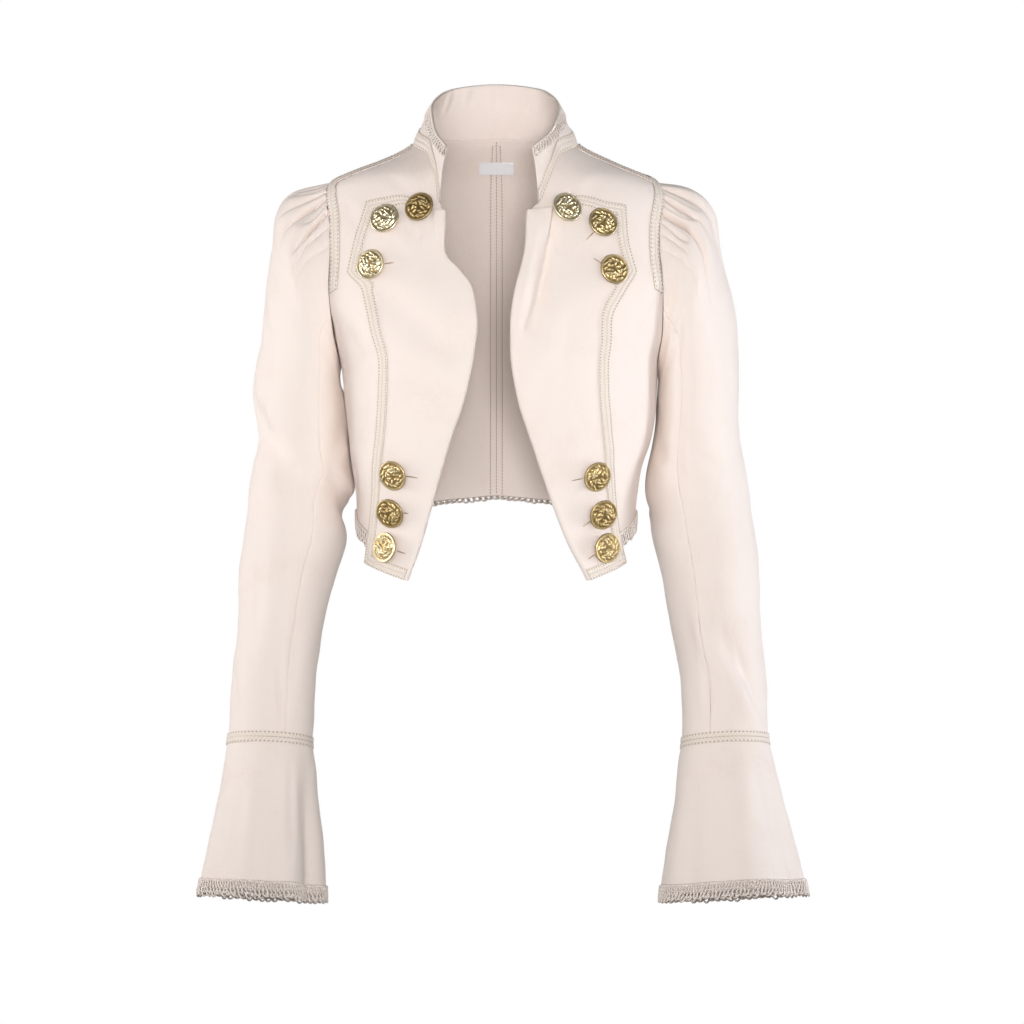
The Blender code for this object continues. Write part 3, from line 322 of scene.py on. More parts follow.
# Soft flutes that open toward the cuff's hem
CUFF_FLUTES = table("height | degrees half_width", {
    "right": [
        (3.5, 25, 16), (3, 78, 18), (5, 114, 10), (-12.5, 150, 16), (4, 200, 22), (-4.5, 262, 18),
        (4, 318, 18),
    ],
    "left": [
        (-6, 40, 13), (5.5, 82, 17), (-5, 134, 15), (4, 196, 20), (-4.5, 250, 17), (4.5, 310, 18),
    ],
})
FLUTE_OPENING = 1.3

# Braid: its height, width, lifts off the cloth and steps; the armhole, wrist and neck have a coarser one
BRAID = 0.0014
BRAID_WIDTH = 0.0110
WIDE_BRAID = BRAID_WIDTH * 1.25
COARSE_PLAIT = 1.35
BRAID_INSET = 0.0016
BRAID_LIFT, SHOULDER_BRAID_LIFT, SEAM_BRAID_LIFT = 0.0002, 0.0003, 0.0004
BRAID_STEP = 0.0007
BRAID_COLUMNS = np.array([0.0, 0.03, 0.065, 0.10, 0.135, 0.18, 0.26, 0.34, 0.42])
BRAID_LINES = np.linspace(0.0, 1.0, 5)
LAPEL_BRAID_SPREAD = 1.04
LAPEL_BRAID_START = {"right": 0.215, "left": 0.315}
LAPEL_BRAID_END = 0.05
ARMHOLE_BRAID_ROWS = (ROW["lapel_tip"] + 0.42, 5.55)
SHOULDER_BRAID_TOP, SHOULDER_BRAID_END = -0.0040, -0.0375
SHOULDER_BRAID_LINES = (0.0015, 0.0035, 0.0055)

# Its plait: the edge cords' middle and half width, the inner rows and their slant, the dimples, and the
# painted shade in their hollows and how high each is
PLAIT_PITCH = 0.0030
CORD = (0.82, 0.18)
STRAND_ROW, STRAND_EDGE, STRAND_SLANT = 0.33, 0.62, 0.55
STRAND_ROUND, STRAND_DIP, STRAND_PAINTED_SHADE = 0.8, 0.45, 0.23
DIMPLE_PLACE, DIMPLE_LENGTH, DIMPLE_WIDTH, DIMPLE_PAINTED_SHADE = 0.80, 0.00062, 0.00075, 0.80
BRAID_BASE, CORD_HEIGHT, STRAND_HEIGHT, DIMPLE_DEPTH = 0.30, 0.50, 0.60, 0.60

# Crochet edging: strands that swing between a top and a bottom height, measured up the cloth from its hem.
# Curl rolls a strand's swings into loops; depth is how far each passes in and out.
STRANDS = table("pitch top bottom yarn lift depth | steps phase curl uneven", {
    "cuff": [
        (4, 7.4, 5.4, 0.92, 0.5, 0.8, 7, 0, 0, 0.1),
        (4, 7.4, 5.4, 0.92, 0.5, 0.8, 7, math.pi, 0, 0.1),
        (3.1, 5.6, 1.8, 0.9, 0.5, 0.7, 8, 0.4, 0.24, 0.25),
        (3.5, 2.6, -1.6, 0.92, 0.4, 0.7, 8, 2.1, 0.26, 0.35),
        (4, -0.6, -5.4, 0.96, 0.3, 0.8, 9, 4, 0.27, 0.35),
        (3.4, -4.2, -6.6, 0.94, 0.2, 0.6, 6, 1, 0.1, 0.4),
        (6.2, -5.6, -8.2, 1, 0.3, 0.4, 10, 2.6, -0.15, 0.6),
    ],
    "hem": [
        (4.2, 6.4, 4.6, 0.9, 0.4, 0.8, 7, 0, 0, 0.1),
        (4.2, 6.4, 4.6, 0.9, 0.4, 0.8, 7, math.pi, 0, 0.1),
        (5.2, 5, -0.4, 0.92, 0.4, 0.8, 11, 0.4, 0.34, 0.3),
        (5.8, 0.4, -5.8, 0.96, 0.3, 0.8, 12, 2.4, 0.36, 0.35),
        (6.4, -4.6, -8.2, 1, 0.3, 0.4, 10, 2.6, -0.15, 0.6),
    ],
    "collar": [
        (4, 1.4, -0.8, 0.9, 1, 0.8, 6, 0, 0, 0.1),
        (4, 1.4, -0.8, 0.9, 1, 0.8, 6, math.pi, 0, 0.1),
        (4.6, -0.6, -5, 0.88, 1.2, 0.5, 10, 0.4, 0.32, 0.25),
        (5.2, -4.4, -9.2, 0.9, 1.2, 0.5, 10, 2.6, 0.32, 0.3),
        (5.8, -7.4, -10.2, 0.86, 1, 0.4, 9, 1.2, -0.16, 0.3),
    ],
})
# Loops' sway, the painted shade where the yarn passes behind, and the seeded mottle of the yarn's tone
LOOP_SWAY, LOOP_PAINTED_SHADE, LOOP_MOTTLE = 0.14, 0.31, 0.18
HEM_BACK_NARROWS, HEM_NARROWED = 0.50, 0.06
LACE_LAP = 0.0004
COLLAR_LACE_DROPS = (0.0015, 0.0080)
CUFF_LACE_SEED, HEM_LACE_SEED, COLLAR_LACE_SEED = 11, 12, 13

# Sewing: stitches as they rise and dip, the felled seam inside the back and the felled shoulder strips
STITCH_LENGTH = 0.0020
STITCH_PITCH = 0.0033
STITCH_SHARES = np.array([0.0, 0.22, 0.78, 1.0])
STITCH_LIFTS = np.array([-0.0002, 0.00022, 0.00022, -0.0002])
THREAD, STITCH_DARK = 0.00042, 0.2
SLIT_LIP, SLIT_LIFT = 0.00030, 0.0002
FELL = 0.0007
FELL_DEPTH = CLOTH + FELL + 0.0001
SEAM_ROW = 0.0060
SEAM_FELL = (0.0020, 0.0060, 0.0078)
SHOULDER_FELL = (0.0030, 0.0036, 0.0052, 0.0070, 0.0076)
SHOULDER_FELL_RUN = (-0.0042, -0.0385)
STRIP_GAP = 0.0002

# Buttons: place seen from the front, length of the buttonhole that shows beside it, lean of the shank to the
# side and upward, braids under it, the buttonhole's direction and how dark the metal has gone
BUTTONS = table("x z slit | lean_side lean_up braids slit_degrees tarnish", {
    "right": [
        (71.6, -78, 0, -14, 4, 1, 0, 0.34),
        (105.5, -87.5, 11, -4, 4, 0, -53, -0.14),
        (118.5, -132, 8, -4, 0, 0, 6, -0.08),
        (96.5, -334.1, 11.5, 0, -6, 0, -8, 0.18),
        (98.5, -371, 4, 4, -18, 0, -4, 0.28),
        (103.9, -406, 8.5, -4, 6, 0, -14, 0.02),
    ],
    "left": [
        (67.2, -78.5, 0, -16, 4, 1, 0, -0.1),
        (102.4, -91.5, 9, -4, 4, 0, -45, 0.16),
        (112.5, -137, 7.5, -4, 0, 0, 32, 0.22),
        (95.5, -335.1, 11.5, 0, -6, 0, -12, 0.26),
        (100.9, -372.5, 9.5, 6, -16, 0, -32, 0.28),
        (104.9, -405.5, 8.5, 2, -8, 0, -30, 0.2),
    ],
})
BUTTON_RADIUS = 0.0143
BUTTON_FACE = 0.0148
SHANK_HEIGHT = 0.0030
SHANK_RADIUS = 0.0030
BUTTON_GAP = 0.0009
SOLID_BRAID = 0.0012

# A button's dome, its back as shares of its radius and heights, its rim and ring as middles and half
# widths, its wreath and sprig, and how dark its hollows and back are
DOME_EDGE, DOME_RISE = 0.0016, 0.0014
BUTTON_BACK = ((1.0, 0.0042), (0.985, 0.0037), (0.93, 0.0033), (0.60, 0.0031),
               (SHANK_RADIUS / BUTTON_FACE, SHANK_HEIGHT), (SHANK_RADIUS / BUTTON_FACE, 0.0), (0.0, 0.0))
BUTTON_TURN = 1.9
RIM, RING = (0.945, 0.055), (0.855, 0.03)
RIM_HEIGHT, RING_HEIGHT, LEAF_HEIGHT = 0.0009, 0.0005, 0.0012
WREATH, SPRIG, RELIEF_SEED = 17, 21, 31
WREATH_UNEVEN, WREATH_RADIUS, WREATH_LEAN = 0.12, (0.64, 0.74), (0.7, 1.3)
SPRIG_RADIUS, ALL_ROUND = 0.52, 6.28
LEAF_LONG, LEAF_WIDE = (0.11, 0.20), (0.045, 0.080)
HOLLOW_DARK, BACK_DARK, RUBBED = 0.46, 0.45, 0.0010

# Blank label inside the back neck
LABEL_HALF_WIDTH = 0.0180
LABEL_TOP, LABEL_BOTTOM = -0.0125, -0.0245
LABEL = 0.0007
LABEL_GAP = 0.0012

# Studio floor
FLOOR, FLOOR_RADIUS, FLOOR_CORNERS = -1.40, 2.8, 96


def column(table, name):
    """One named column of a table as an array."""
    return np.array([getattr(row, name) for row in table], dtype=float)


def smooth(knots, values, at):
    """Monotone cubic through the knots: each slope is the weighted harmonic mean of its two chords."""
    steps = np.diff(knots)
    slopes = np.diff(values) / steps
    before, after = slopes[:-1], slopes[1:]
    first, second = 2 * steps[1:] + steps[:-1], steps[1:] + 2 * steps[:-1]
    rising = before * after > 0
    mean = (first + second) / (first / np.where(rising, before, 1.0) + second / np.where(rising, after, 1.0))
    tangents = np.concatenate([slopes[:1], np.where(rising, mean, 0.0), slopes[-1:]])
    at = np.asarray(at, dtype=float)
    cell = np.clip(np.searchsorted(knots, at, side="right") - 1, 0, len(steps) - 1)
    share = (at - knots[cell]) / steps[cell]
    rest = 1 - share
    return (values[cell] * (1 + 2 * share) * rest ** 2 + values[cell + 1] * share ** 2 * (3 - 2 * share)
            + (tangents[cell] * rest - tangents[cell + 1] * share) * share * rest * steps[cell])


def through_rings(rings, at):
    """Natural cubic spline through evenly numbered rings, so that light runs over them without a break."""
    count = len(rings)
    flat = rings.reshape(count, -1)
    system = np.eye(count)
    inner = np.arange(1, count - 1)
    system[inner, inner] = 4.0
    system[inner, inner - 1] = 1.0
    system[inner, inner + 1] = 1.0
    load = np.zeros_like(flat)
    load[1:-1] = 6 * (flat[:-2] - 2 * flat[1:-1] + flat[2:])
    bend = np.linalg.solve(system, load)
    cell = np.clip(np.floor(at).astype(int), 0, count - 2)
    share = (at - cell)[:, None]
    rest = 1 - share
    made = (flat[cell] * rest + flat[cell + 1] * share
            + bend[cell] * (rest ** 3 - rest) / 6 + bend[cell + 1] * (share ** 3 - share) / 6)
    return made.reshape((len(at),) + rings.shape[1:])


def signed_power(value, power):
    """Power of a signed value that keeps its sign."""
    return np.sign(value) * np.abs(value) ** power


def unit(vectors):
    """Vectors scaled to length one."""
    return vectors / np.maximum(np.linalg.norm(vectors, axis=-1, keepdims=True), 1e-12)


def ease(share):
    """Smooth step from 0 to 1: three times the square less twice the cube."""
    share = np.clip(share, 0.0, 1.0)
    return share * share * (3 - 2 * share)


def body_size(name, z):
    """A named size of the body form at a height, averaged a little above and below so that no level shows."""
    down = -np.asarray(z, dtype=float)
    above, here, below = (smooth(-column(BODY, "z"), column(BODY, name), down + BODY_SOFTNESS * step)
                          for step in (-1, 0, 1))
    return (above + 2 * here + below) / 4


def on_form(side, angle, z):
    """Body form: each level is a squared ellipse, at a girth angle from centre front, 180 at centre back."""
    power = 2.0 / body_size("square", z)
    sine, cosine = np.sin(angle), np.cos(angle)
    depth = np.where(cosine > 0, body_size("front", z), body_size("back", z))
    x = SIDES[side] * body_size(side, z) * signed_power(sine, power)
    y = -depth * signed_power(cosine, power)
    return np.stack([x, y, np.broadcast_to(z, x.shape)], axis=-1)


def form_normal(side, angle, z):
    """Outward direction of the body form, across its girth and height directions."""
    turn, rise = 0.01, 0.001
    along = on_form(side, angle + turn, z) - on_form(side, angle - turn, z)
    up = on_form(side, angle, z + rise) - on_form(side, angle, z - rise)
    normal = unit(np.cross(along, up))
    outward = on_form(side, angle, z) * FLAT
    return normal * np.sign(np.sum(normal * outward, axis=-1, keepdims=True))


def angle_at(side, x, z):
    """Girth angle on the front of the form at a distance from the middle."""
    share = np.clip(np.abs(x) / body_size(side, z), 0.0, 1.0)
    return np.arcsin(share ** (body_size("square", z) / 2.0))


def side_angle(z, depth, form_depth):
    """Angle from the side seam to the armhole's edge; zero on the side seam below the underarm."""
    height = np.clip((z - ARMHOLE_MIDDLE) / ARMHOLE_HALF, -1.0, 1.0)
    reach = depth * np.sqrt(1.0 - height ** 2)
    return np.arcsin(np.clip(reach / body_size(form_depth, z), 0.0, 1.0) ** (body_size("square", z) / 2.0))


def beside_line(u, v, line):
    """Share along a line and distance across it for each place, and the line's length."""
    run_u, run_v = line.u1 - line.u0, line.v1 - line.v0
    length = math.hypot(run_u, run_v)
    along = ((u - line.u0) * run_u + (v - line.v0) * run_v) / length ** 2
    across = ((u - line.u0) * run_v - (v - line.v0) * run_u) / length
    return along, across, length


def bells(at, parts):
    """Bells added across a line, each with its height, place, half width and power."""
    return sum(part.height * np.exp(-np.abs((at - part.place) / part.half_width) ** part.power)
               for part in parts)


def soft_line(u, v, fold):
    """Soft fold along a line: a bell across it that runs on round both ends."""
    along, across, length = beside_line(u, v, fold)
    beyond = np.maximum(np.abs(along - 0.5) - 0.5, 0.0) * length
    return fold.height * np.exp(-(across ** 2 + beyond ** 2) / fold.half_width ** 2)


def crease_line(u, v, crease):
    """Crease on a bowed line: a narrow bell with a lower opposite one beside it, both fading to the ends."""
    along, across, _ = beside_line(u, v, crease)
    across = across - crease.bow * 4 * along * (1 - along)
    fade = np.clip(1 - (2 * along - 1) ** 2, 0.0, 1.0)
    narrowed = crease.half_width * (CREASE_END + (1 - CREASE_END) * fade)
    return crease.height * fade ** CREASE_FADE * bells(across / narrowed, CREASE_PARTS)


def creases_at(piece, u, v):
    """All the creases of one panel or of the collar, added."""
    return sum(crease_line(u, v, crease) for crease in PANEL_CREASES[piece])


def ripple(points, seed):
    """Faint unevenness of worn cloth: seeded sine waves in space, each a set share of its length high."""
    draw = np.random.default_rng(seed)
    lengths = draw.uniform(*RIPPLE_LENGTHS, RIPPLE_WAVES)
    ways = unit(draw.normal(size=(RIPPLE_WAVES, 3))) * (2 * math.pi / lengths[:, None])
    phases = draw.uniform(0, 2 * math.pi, RIPPLE_WAVES)
    return (np.sin(points @ ways.T + phases) * lengths / RIPPLE_FLATNESS).sum(axis=-1)


def front_at(side, row, across):
    """Front panel at a row of its table and a place across: 0 free edge, 1 lapel's edge, 2 side.

    Girth angle and height run straight between those three places; folds, creases and ripple lie on top.
    """
    row, across = np.broadcast_arrays(np.asarray(row, dtype=float), np.asarray(across, dtype=float))
    numbers = np.arange(len(FRONT), dtype=float)
    tip = ROW["lapel_tip"]
    edge_z, lapel_z = column(FRONT, "edge_z"), column(FRONT, "lapel_z")
    edge_turn = angle_at(side, column(FRONT, "edge_" + side), edge_z)
    lapel_turn = angle_at(side, column(FRONT, "lapel_" + side), lapel_z)
    edge_turn[0] = lapel_turn[0] = math.pi / 2
    edge = smooth(numbers, edge_turn, row), smooth(numbers, edge_z, row)
    above = smooth(numbers[:tip + 1], lapel_turn[:tip + 1], np.minimum(row, tip))
    below = smooth(numbers[tip:], lapel_turn[tip:], np.maximum(row, tip))
    lapel = np.where(row < tip, above, below), smooth(numbers, lapel_z, row)
    seam_z = smooth(numbers, column(FRONT, "side_z"), row)
    seam = math.pi / 2 - side_angle(seam_z, ARMHOLE_FRONT, "front"), seam_z
    inner, outer = np.clip(across, 0.0, 1.0), np.clip(across - 1.0, 0.0, 1.0)
    angle, z = (edge[part] + (lapel[part] - edge[part]) * inner + (seam[part] - lapel[part]) * outer
                for part in (0, 1))
    points, normals = on_form(side, angle, z), form_normal(side, angle, z)
    x = np.abs(points[..., 0])
    height = sum(soft_line(x, z, fold) for fold in FRONT_FOLDS[side])
    height = height + creases_at("front_" + side, x, z) + ripple(points, BODY_SEED)
    return points + normals * height[..., None], normals


def back_at(side, row, across):
    """Back panel at a row of its table and a place across: 0 neckline or centre back, 1 armhole or side."""
    row, across = np.broadcast_arrays(np.asarray(row, dtype=float), np.asarray(across, dtype=float))
    numbers = np.arange(len(BACK), dtype=float)
    centre_z, seam_z, centre = (smooth(numbers, column(BACK, name), row)
                                for name in ("centre_z", "side_z", "centre_degrees"))
    centre = np.radians(centre)
    seam = math.pi / 2 + side_angle(seam_z, ARMHOLE_BACK, "back")
    angle = centre + (seam - centre) * across
    z = centre_z + (seam_z - centre_z) * across
    points, normals = on_form(side, angle, z), form_normal(side, angle, z)
    height = creases_at("back_" + side, np.abs(points[..., 0]), z) + ripple(points, BODY_SEED)
    return points + normals * height[..., None], normals


def armhole_at(side, theta):
    """Armhole at angles round it: 0 shoulder tip, 90 front, 180 underarm, 270 back."""
    z = ARMHOLE_MIDDLE + ARMHOLE_HALF * np.cos(theta)
    front = math.pi / 2 - side_angle(z, ARMHOLE_FRONT, "front")
    back = math.pi / 2 + side_angle(z, ARMHOLE_BACK, "back")
    points = on_form(side, np.where(np.sin(theta) >= 0, front, back), z)
    points[..., 0] += SIDES[side] * ARMHOLE_EASE
    return points


def ring_at(side, ring, theta):
    """One ring of a sleeve or cuff: an ellipse between its outer and inner points, tilted forward."""
    outer = np.array([SIDES[side] * getattr(ring, "outer_" + side), ring.mid_y, ring.outer_z])
    inner = np.array([SIDES[side] * getattr(ring, "inner_" + side), ring.mid_y, ring.inner_z])
    forward = np.array([0.0, -1.0, ring.tilt]) * ring.depth
    return ((outer + inner) / 2 + (outer - inner) / 2 * np.cos(theta)[..., None]
            + forward * np.sin(theta)[..., None])


def angle_between(theta, degrees):
    """Shortest turn from one angle to another, in radians."""
    return (theta - math.radians(degrees) + math.pi) % (2 * math.pi) - math.pi


def gathers_at(side, column_turn, ring):
    """Gathers at the sleeve head: sharp valleys, each with a puffed ridge, from the seam to their ends."""
    opening = GATHER_AT_SEAM + (1 - GATHER_AT_SEAM) * ease(ring / GATHER_FULLEST)
    opening = opening * ease(ring / GATHER_SEWN)
    height = 0.0
    for gather in GATHERS[side]:
        widened = gather.half_degrees * (1 + GATHER_WIDENS * ring)
        fold = bells(np.degrees(angle_between(column_turn, gather.start)) / widened, GATHER_PARTS)
        closing = ease((gather.reach - ring) / (gather.reach - GATHER_FULLEST))
        height = height + gather.depth * fold * opening * closing
    return height


def gathered_turn(side, column_turn, ring):
    """Angle of each cloth column at each ring: a gather draws its column aside, and those between follow."""
    start, end, reach, bow = (column(GATHERS[side], name) for name in ("start", "end", "reach", "bow"))
    knots = np.concatenate([[-SLEEVE_SEAM], np.radians(start), [SLEEVE_SEAM]])
    nearness = np.stack([np.interp(column_turn, knots, row) for row in np.eye(len(knots))[1:-1]])
    gone = np.clip(ring[:, None] / reach, 0, 1)
    drawn = ease(gone) * (end - start) + np.sin(math.pi * gone) * bow
    return column_turn + np.radians(drawn) @ nearness


def gathered_columns(side, count):
    """Column angles over the top sleeve, seam to seam, crowded toward each gather, with one along each."""
    starts = np.radians(column(GATHERS[side], "start"))
    turn = np.linspace(-SLEEVE_SEAM, SLEEVE_SEAM, 4001)
    crowd = np.exp(-((turn[:, None] - starts) / CROWD_HALF_WIDTH) ** 2).sum(axis=1)
    gone = np.cumsum(1 + CROWDING * crowd)
    columns = np.interp(np.linspace(gone[0], gone[-1], count), gone, turn)
    columns[np.abs(columns[:, None] - starts).argmin(axis=0)] = starts
    return columns


def on_tube(shape, lines, theta, ring, per_degree, per_ring):
    """Folds or creases of a sleeve or cuff, added, each measured round and along it from its own start."""
    height = 0.0
    for line in lines:
        run = (line.u1 - line.u0) * per_degree, (line.v1 - line.v0) * per_ring
        own = line._replace(u0=0.0, v0=0.0, u1=run[0], v1=run[1])
        round_it = np.degrees(angle_between(theta, line.u0)) * per_degree
        height = height + shape(round_it, (ring - line.v0) * per_ring, own)
    return height


def grid_normals(points, outward, closed=False):
    """Directions square to a grid, from how it runs down and across, turned to the outward side.

    Also gives +1 or -1 for which way round the grid's squares face outward.
    """
    down = np.gradient(points, axis=0)
    wide = np.concatenate([points[:, -1:], points, points[:, :1]], axis=1) if closed else points
    across = np.gradient(wide, axis=1)[:, 1:-1] if closed else np.gradient(wide, axis=1)
    normals = unit(np.cross(down, across))
    facing = 1.0 if np.sum(normals * outward) > 0 else -1.0
    return normals * facing, facing


def sleeve_at(side, column_turn, ring):
    """Sleeve: the spline through armhole and rings, moved out by gathers, folds, creases and ripple."""
    theta = gathered_turn(side, column_turn, ring)
    all_round = np.linspace(0, 2 * math.pi, 48, endpoint=False)
    rings, middles = (np.stack([armhole_at(side, turn)] + [ring_at(side, level, turn) for level in SLEEVE])
                      for turn in (theta, all_round))
    weights = through_rings(np.eye(len(rings)), ring)
    points = np.einsum("rk,krcd->rcd", weights, rings)
    outward = points - (weights @ middles.mean(axis=1))[:, None]
    normals = grid_normals(points, outward)[0]
    number = ring[:, None]
    ends = ease(len(SLEEVE) - number) * ease(number)
    folds = on_tube(soft_line, SLEEVE_FOLDS[side], theta, number, RINGS_PER_DEGREE, 1.0)
    creases = on_tube(crease_line, TUBE_CREASES["sleeve_" + side], theta, number, *METRES_PER_STEP)
    height = gathers_at(side, column_turn, number) + ends * (folds + creases + ripple(points, SLEEVE_SEED))
    return points + normals * height[..., None], outward


def cuff_at(side, theta, ring):
    """Cuff: the spline through its rings, moved out by flutes that open to the hem, creases and ripple."""
    points = through_rings(np.stack([ring_at(side, level, theta) for level in CUFF]), ring)
    outward = points - points.mean(axis=1, keepdims=True)
    normals = grid_normals(points, outward, closed=True)[0]
    number = ring[:, None]
    flutes = 0.0
    for flute in CUFF_FLUTES[side]:
        turn = np.degrees(angle_between(theta, flute.degrees)) / flute.half_width
        flutes = flutes + flute.height * np.exp(-turn ** 2)
    creases = on_tube(crease_line, TUBE_CREASES["cuff_" + side], theta, number, *METRES_PER_STEP)
    height = flutes * (number / (len(CUFF) - 1)) ** FLUTE_OPENING
    height = height + ease(number) * (creases + ripple(points, CUFF_SEED))
    return points + normals * height[..., None], outward


# Making meshes


def run_length(lines):
    """Distance along each run of points, from its first."""
    steps = np.diff(lines, axis=-2, prepend=lines[..., :1, :])
    return np.cumsum(np.linalg.norm(steps, axis=-1), axis=-1)


def at_distance(runs, distance, *values):
    """Values where each run of points has gone a distance, between the two points before and after it."""
    gone = run_length(runs)
    distance = np.broadcast_to(distance, len(gone))
    cell = np.clip((gone < distance[:, None]).sum(axis=1), 1, gone.shape[1] - 1)
    pick = np.arange(len(gone))
    share = (distance - gone[pick, cell - 1]) / (gone[pick, cell] - gone[pick, cell - 1])
    return [(own[pick, cell - 1].T * (1 - share) + own[pick, cell].T * share).T for own in values]


def add_piece(name, points, quads, material, uv=None, painted_shade_and_patina=None):
    """A mesh of points and squares, with its weave map and its attribute of painted shade and patina, as an
    object at the origin.
    """
    mesh = bpy.data.meshes.new(name)
    mesh.from_pydata(points.tolist(), [], quads.tolist())
    mesh.polygons.foreach_set("use_smooth", np.ones(len(quads), dtype=bool))
    if uv is not None:
        mesh.uv_layers.new(name="weave").data.foreach_set("uv", uv.astype(np.float32).ravel())
    if painted_shade_and_patina is not None:
        shade = mesh.attributes.new("painted_shade_and_patina", "FLOAT", "POINT")
        shade.data.foreach_set("value", painted_shade_and_patina.astype(np.float32).ravel())
    mesh.materials.append(material)
    piece = bpy.data.objects.new(name, mesh)
    bpy.context.scene.collection.objects.link(piece)
    return piece


def grid_quads(number):
    """Squares of a grid of point numbers, each down and then across."""
    return np.stack([number[:-1, :-1], number[1:, :-1], number[1:, 1:], number[:-1, 1:]], axis=-1)


def shell(name, points, outward, material, thickness=CLOTH, closed=False):
    """Cloth shell: the grid, its copy moved in by the thickness, and a half-round rim between them."""
    points = points.copy()
    normals, facing = grid_normals(points, outward, closed)
    rows, columns = points.shape[:2]
    count = rows * columns
    number = np.arange(count).reshape(rows, columns)
    edge = np.zeros_like(points)
    edge[0] += unit(points[0] - points[1])
    edge[-1] += unit(points[-1] - points[-2])
    if not closed:
        edge[:, 0] += unit(points[:, 0] - points[:, 1])
        edge[:, -1] += unit(points[:, -1] - points[:, -2])
    edge = unit(edge - normals * np.sum(edge * normals, axis=-1, keepdims=True))
    half = thickness / 2
    border = np.zeros((rows, columns), dtype=bool)
    border[[0, -1]] = True
    if not closed:
        border[:, [0, -1]] = True
    points[border] -= edge[border] * half
    inner = points - normals * thickness

    wide = np.concatenate([number, number[:, :1]], axis=1) if closed else number
    spread = np.concatenate([points, points[:, :1]], axis=1) if closed else points
    u = np.cumsum(np.linalg.norm(np.diff(spread, axis=1, prepend=spread[:, :1]), axis=-1), axis=1)
    v = np.cumsum(np.linalg.norm(np.diff(spread, axis=0, prepend=spread[:1]), axis=-1), axis=0)
    place = np.stack([u - u[:, -1:] / 2, v], axis=-1)
    squares = grid_quads(wide).reshape(-1, 4)
    corners = grid_quads(np.arange(wide.size).reshape(wide.shape)).reshape(-1, 4)
    faces = [squares, squares[:, ::-1] + count]
    maps = [place.reshape(-1, 2)[corners], place.reshape(-1, 2)[corners[:, ::-1]]]

    top = np.arange(wide.shape[1])
    if closed:
        loops = [(np.zeros_like(top), top), (np.full_like(top, rows - 1), top[::-1])]
    else:
        side = np.arange(rows)
        loop_rows = np.concatenate([
            np.zeros_like(top), side[1:], np.full(columns - 1, rows - 1), side[-2::-1],
        ])
        loop_columns = np.concatenate([
            top, np.full(rows - 1, columns - 1), top[-2::-1], np.zeros(rows - 1, int),
        ])
        loops = [(loop_rows, loop_columns)]
    extra, next_number = [], 2 * count
    for loop_rows, loop_columns in loops:
        own = number[loop_rows[:-1], loop_columns[:-1] % columns]
        middle = (points.reshape(-1, 3)[own] + inner.reshape(-1, 3)[own]) / 2
        out, rim = normals.reshape(-1, 3)[own], edge.reshape(-1, 3)[own]
        chain = [own]
        for turn in np.radians([45, 90, 135]):
            extra.append(middle + (out * math.cos(turn) + rim * math.sin(turn)) * half)
            chain.append(np.arange(len(own)) + next_number)
            next_number += len(own)
        chain.append(own + count)
        at = place[loop_rows, loop_columns]
        for near, far in zip(chain[:-1], chain[1:]):
            faces.append(np.stack([near, np.roll(near, -1), np.roll(far, -1), far], axis=-1))
            maps.append(np.stack([at[:-1], at[1:], at[1:], at[:-1]], axis=1))
    points = np.concatenate([points.reshape(-1, 3), inner.reshape(-1, 3)] + extra)
    faces, maps = np.concatenate(faces), np.concatenate(maps)
    if facing < 0:
        faces, maps = faces[:, ::-1], maps[:, ::-1]
    return add_piece(name, points, faces, material, uv=maps)


def tubes(paths, across, radius, sides=6):
    """Round yarns: a ring of points about each place of each path, square to it, with both ends closed."""
    along = unit(np.gradient(paths, axis=1))
    first = unit(across - along * np.sum(across * along, axis=-1, keepdims=True))
    second = np.cross(along, first)
    turn = np.arange(sides) * 2 * math.pi / sides
    radius = np.broadcast_to(np.asarray(radius, dtype=float), paths.shape[:2])[..., None, None]
    ring = first[:, :, None] * np.cos(turn)[:, None] + second[:, :, None] * np.sin(turn)[:, None]
    points = paths[:, :, None] + ring * radius
    number = np.arange(points[..., 0].size).reshape(points.shape[:3])
    following = np.roll(number, -1, axis=2)
    squares = np.stack([number[:, :-1], following[:, :-1], following[:, 1:], number[:, 1:]], axis=-1)
    quads = [squares.reshape(-1, 4)]
    for first_side in range(1, sides - 1, 2):
        corners = [0, first_side, first_side + 1, first_side + 2]
        quads += [number[:, -1][:, corners], number[:, 0][:, corners[::-1]]]
    return points.reshape(-1, 3), np.concatenate(quads)


def joined(parts):
    """Several sets of points and squares as one."""
    starts = np.cumsum([0] + [len(points) for points, _ in parts[:-1]])
    return (np.concatenate([points for points, _ in parts]),
            np.concatenate([quads + start for (_, quads), start in zip(parts, starts)]))


# A run along an edge: its line, the way up the cloth and the way out of it
Ribbon = namedtuple("Ribbon", "line up out")


def lay(ribbon, along, height, lift):
    """Place on a ribbon: so far along its line, then up the cloth and out of it. Gives the way out too."""
    gone = run_length(ribbon.line)
    along, height, lift = np.broadcast_arrays(along, height, lift)

    def read(values):
        """Values at those distances along the ribbon, straight between its points."""
        return np.stack([np.interp(along, gone, values[:, axis]) for axis in range(3)], axis=-1)

    out = unit(read(ribbon.out))
    return read(ribbon.line) + unit(read(ribbon.up)) * height[..., None] + out * lift[..., None], out


def dress(piece, slot, *nodes):
    """Put a finished piece on the frame's one body and hide the solids that it stands for. Its slot is not
    used.
    """
    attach(piece, "root")
    if nodes:
        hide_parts(*nodes)
    return piece


# Finishes


def paint(code):
    """An sRGB hex colour as linear values."""
    channels = np.array([int(code[i:i + 2], 16) for i in (1, 3, 5)]) / 255
    linear = np.where(channels <= 0.04045, channels / 12.92, ((channels + 0.055) / 1.055) ** 2.4)
    return (*linear.tolist(), 1.0)


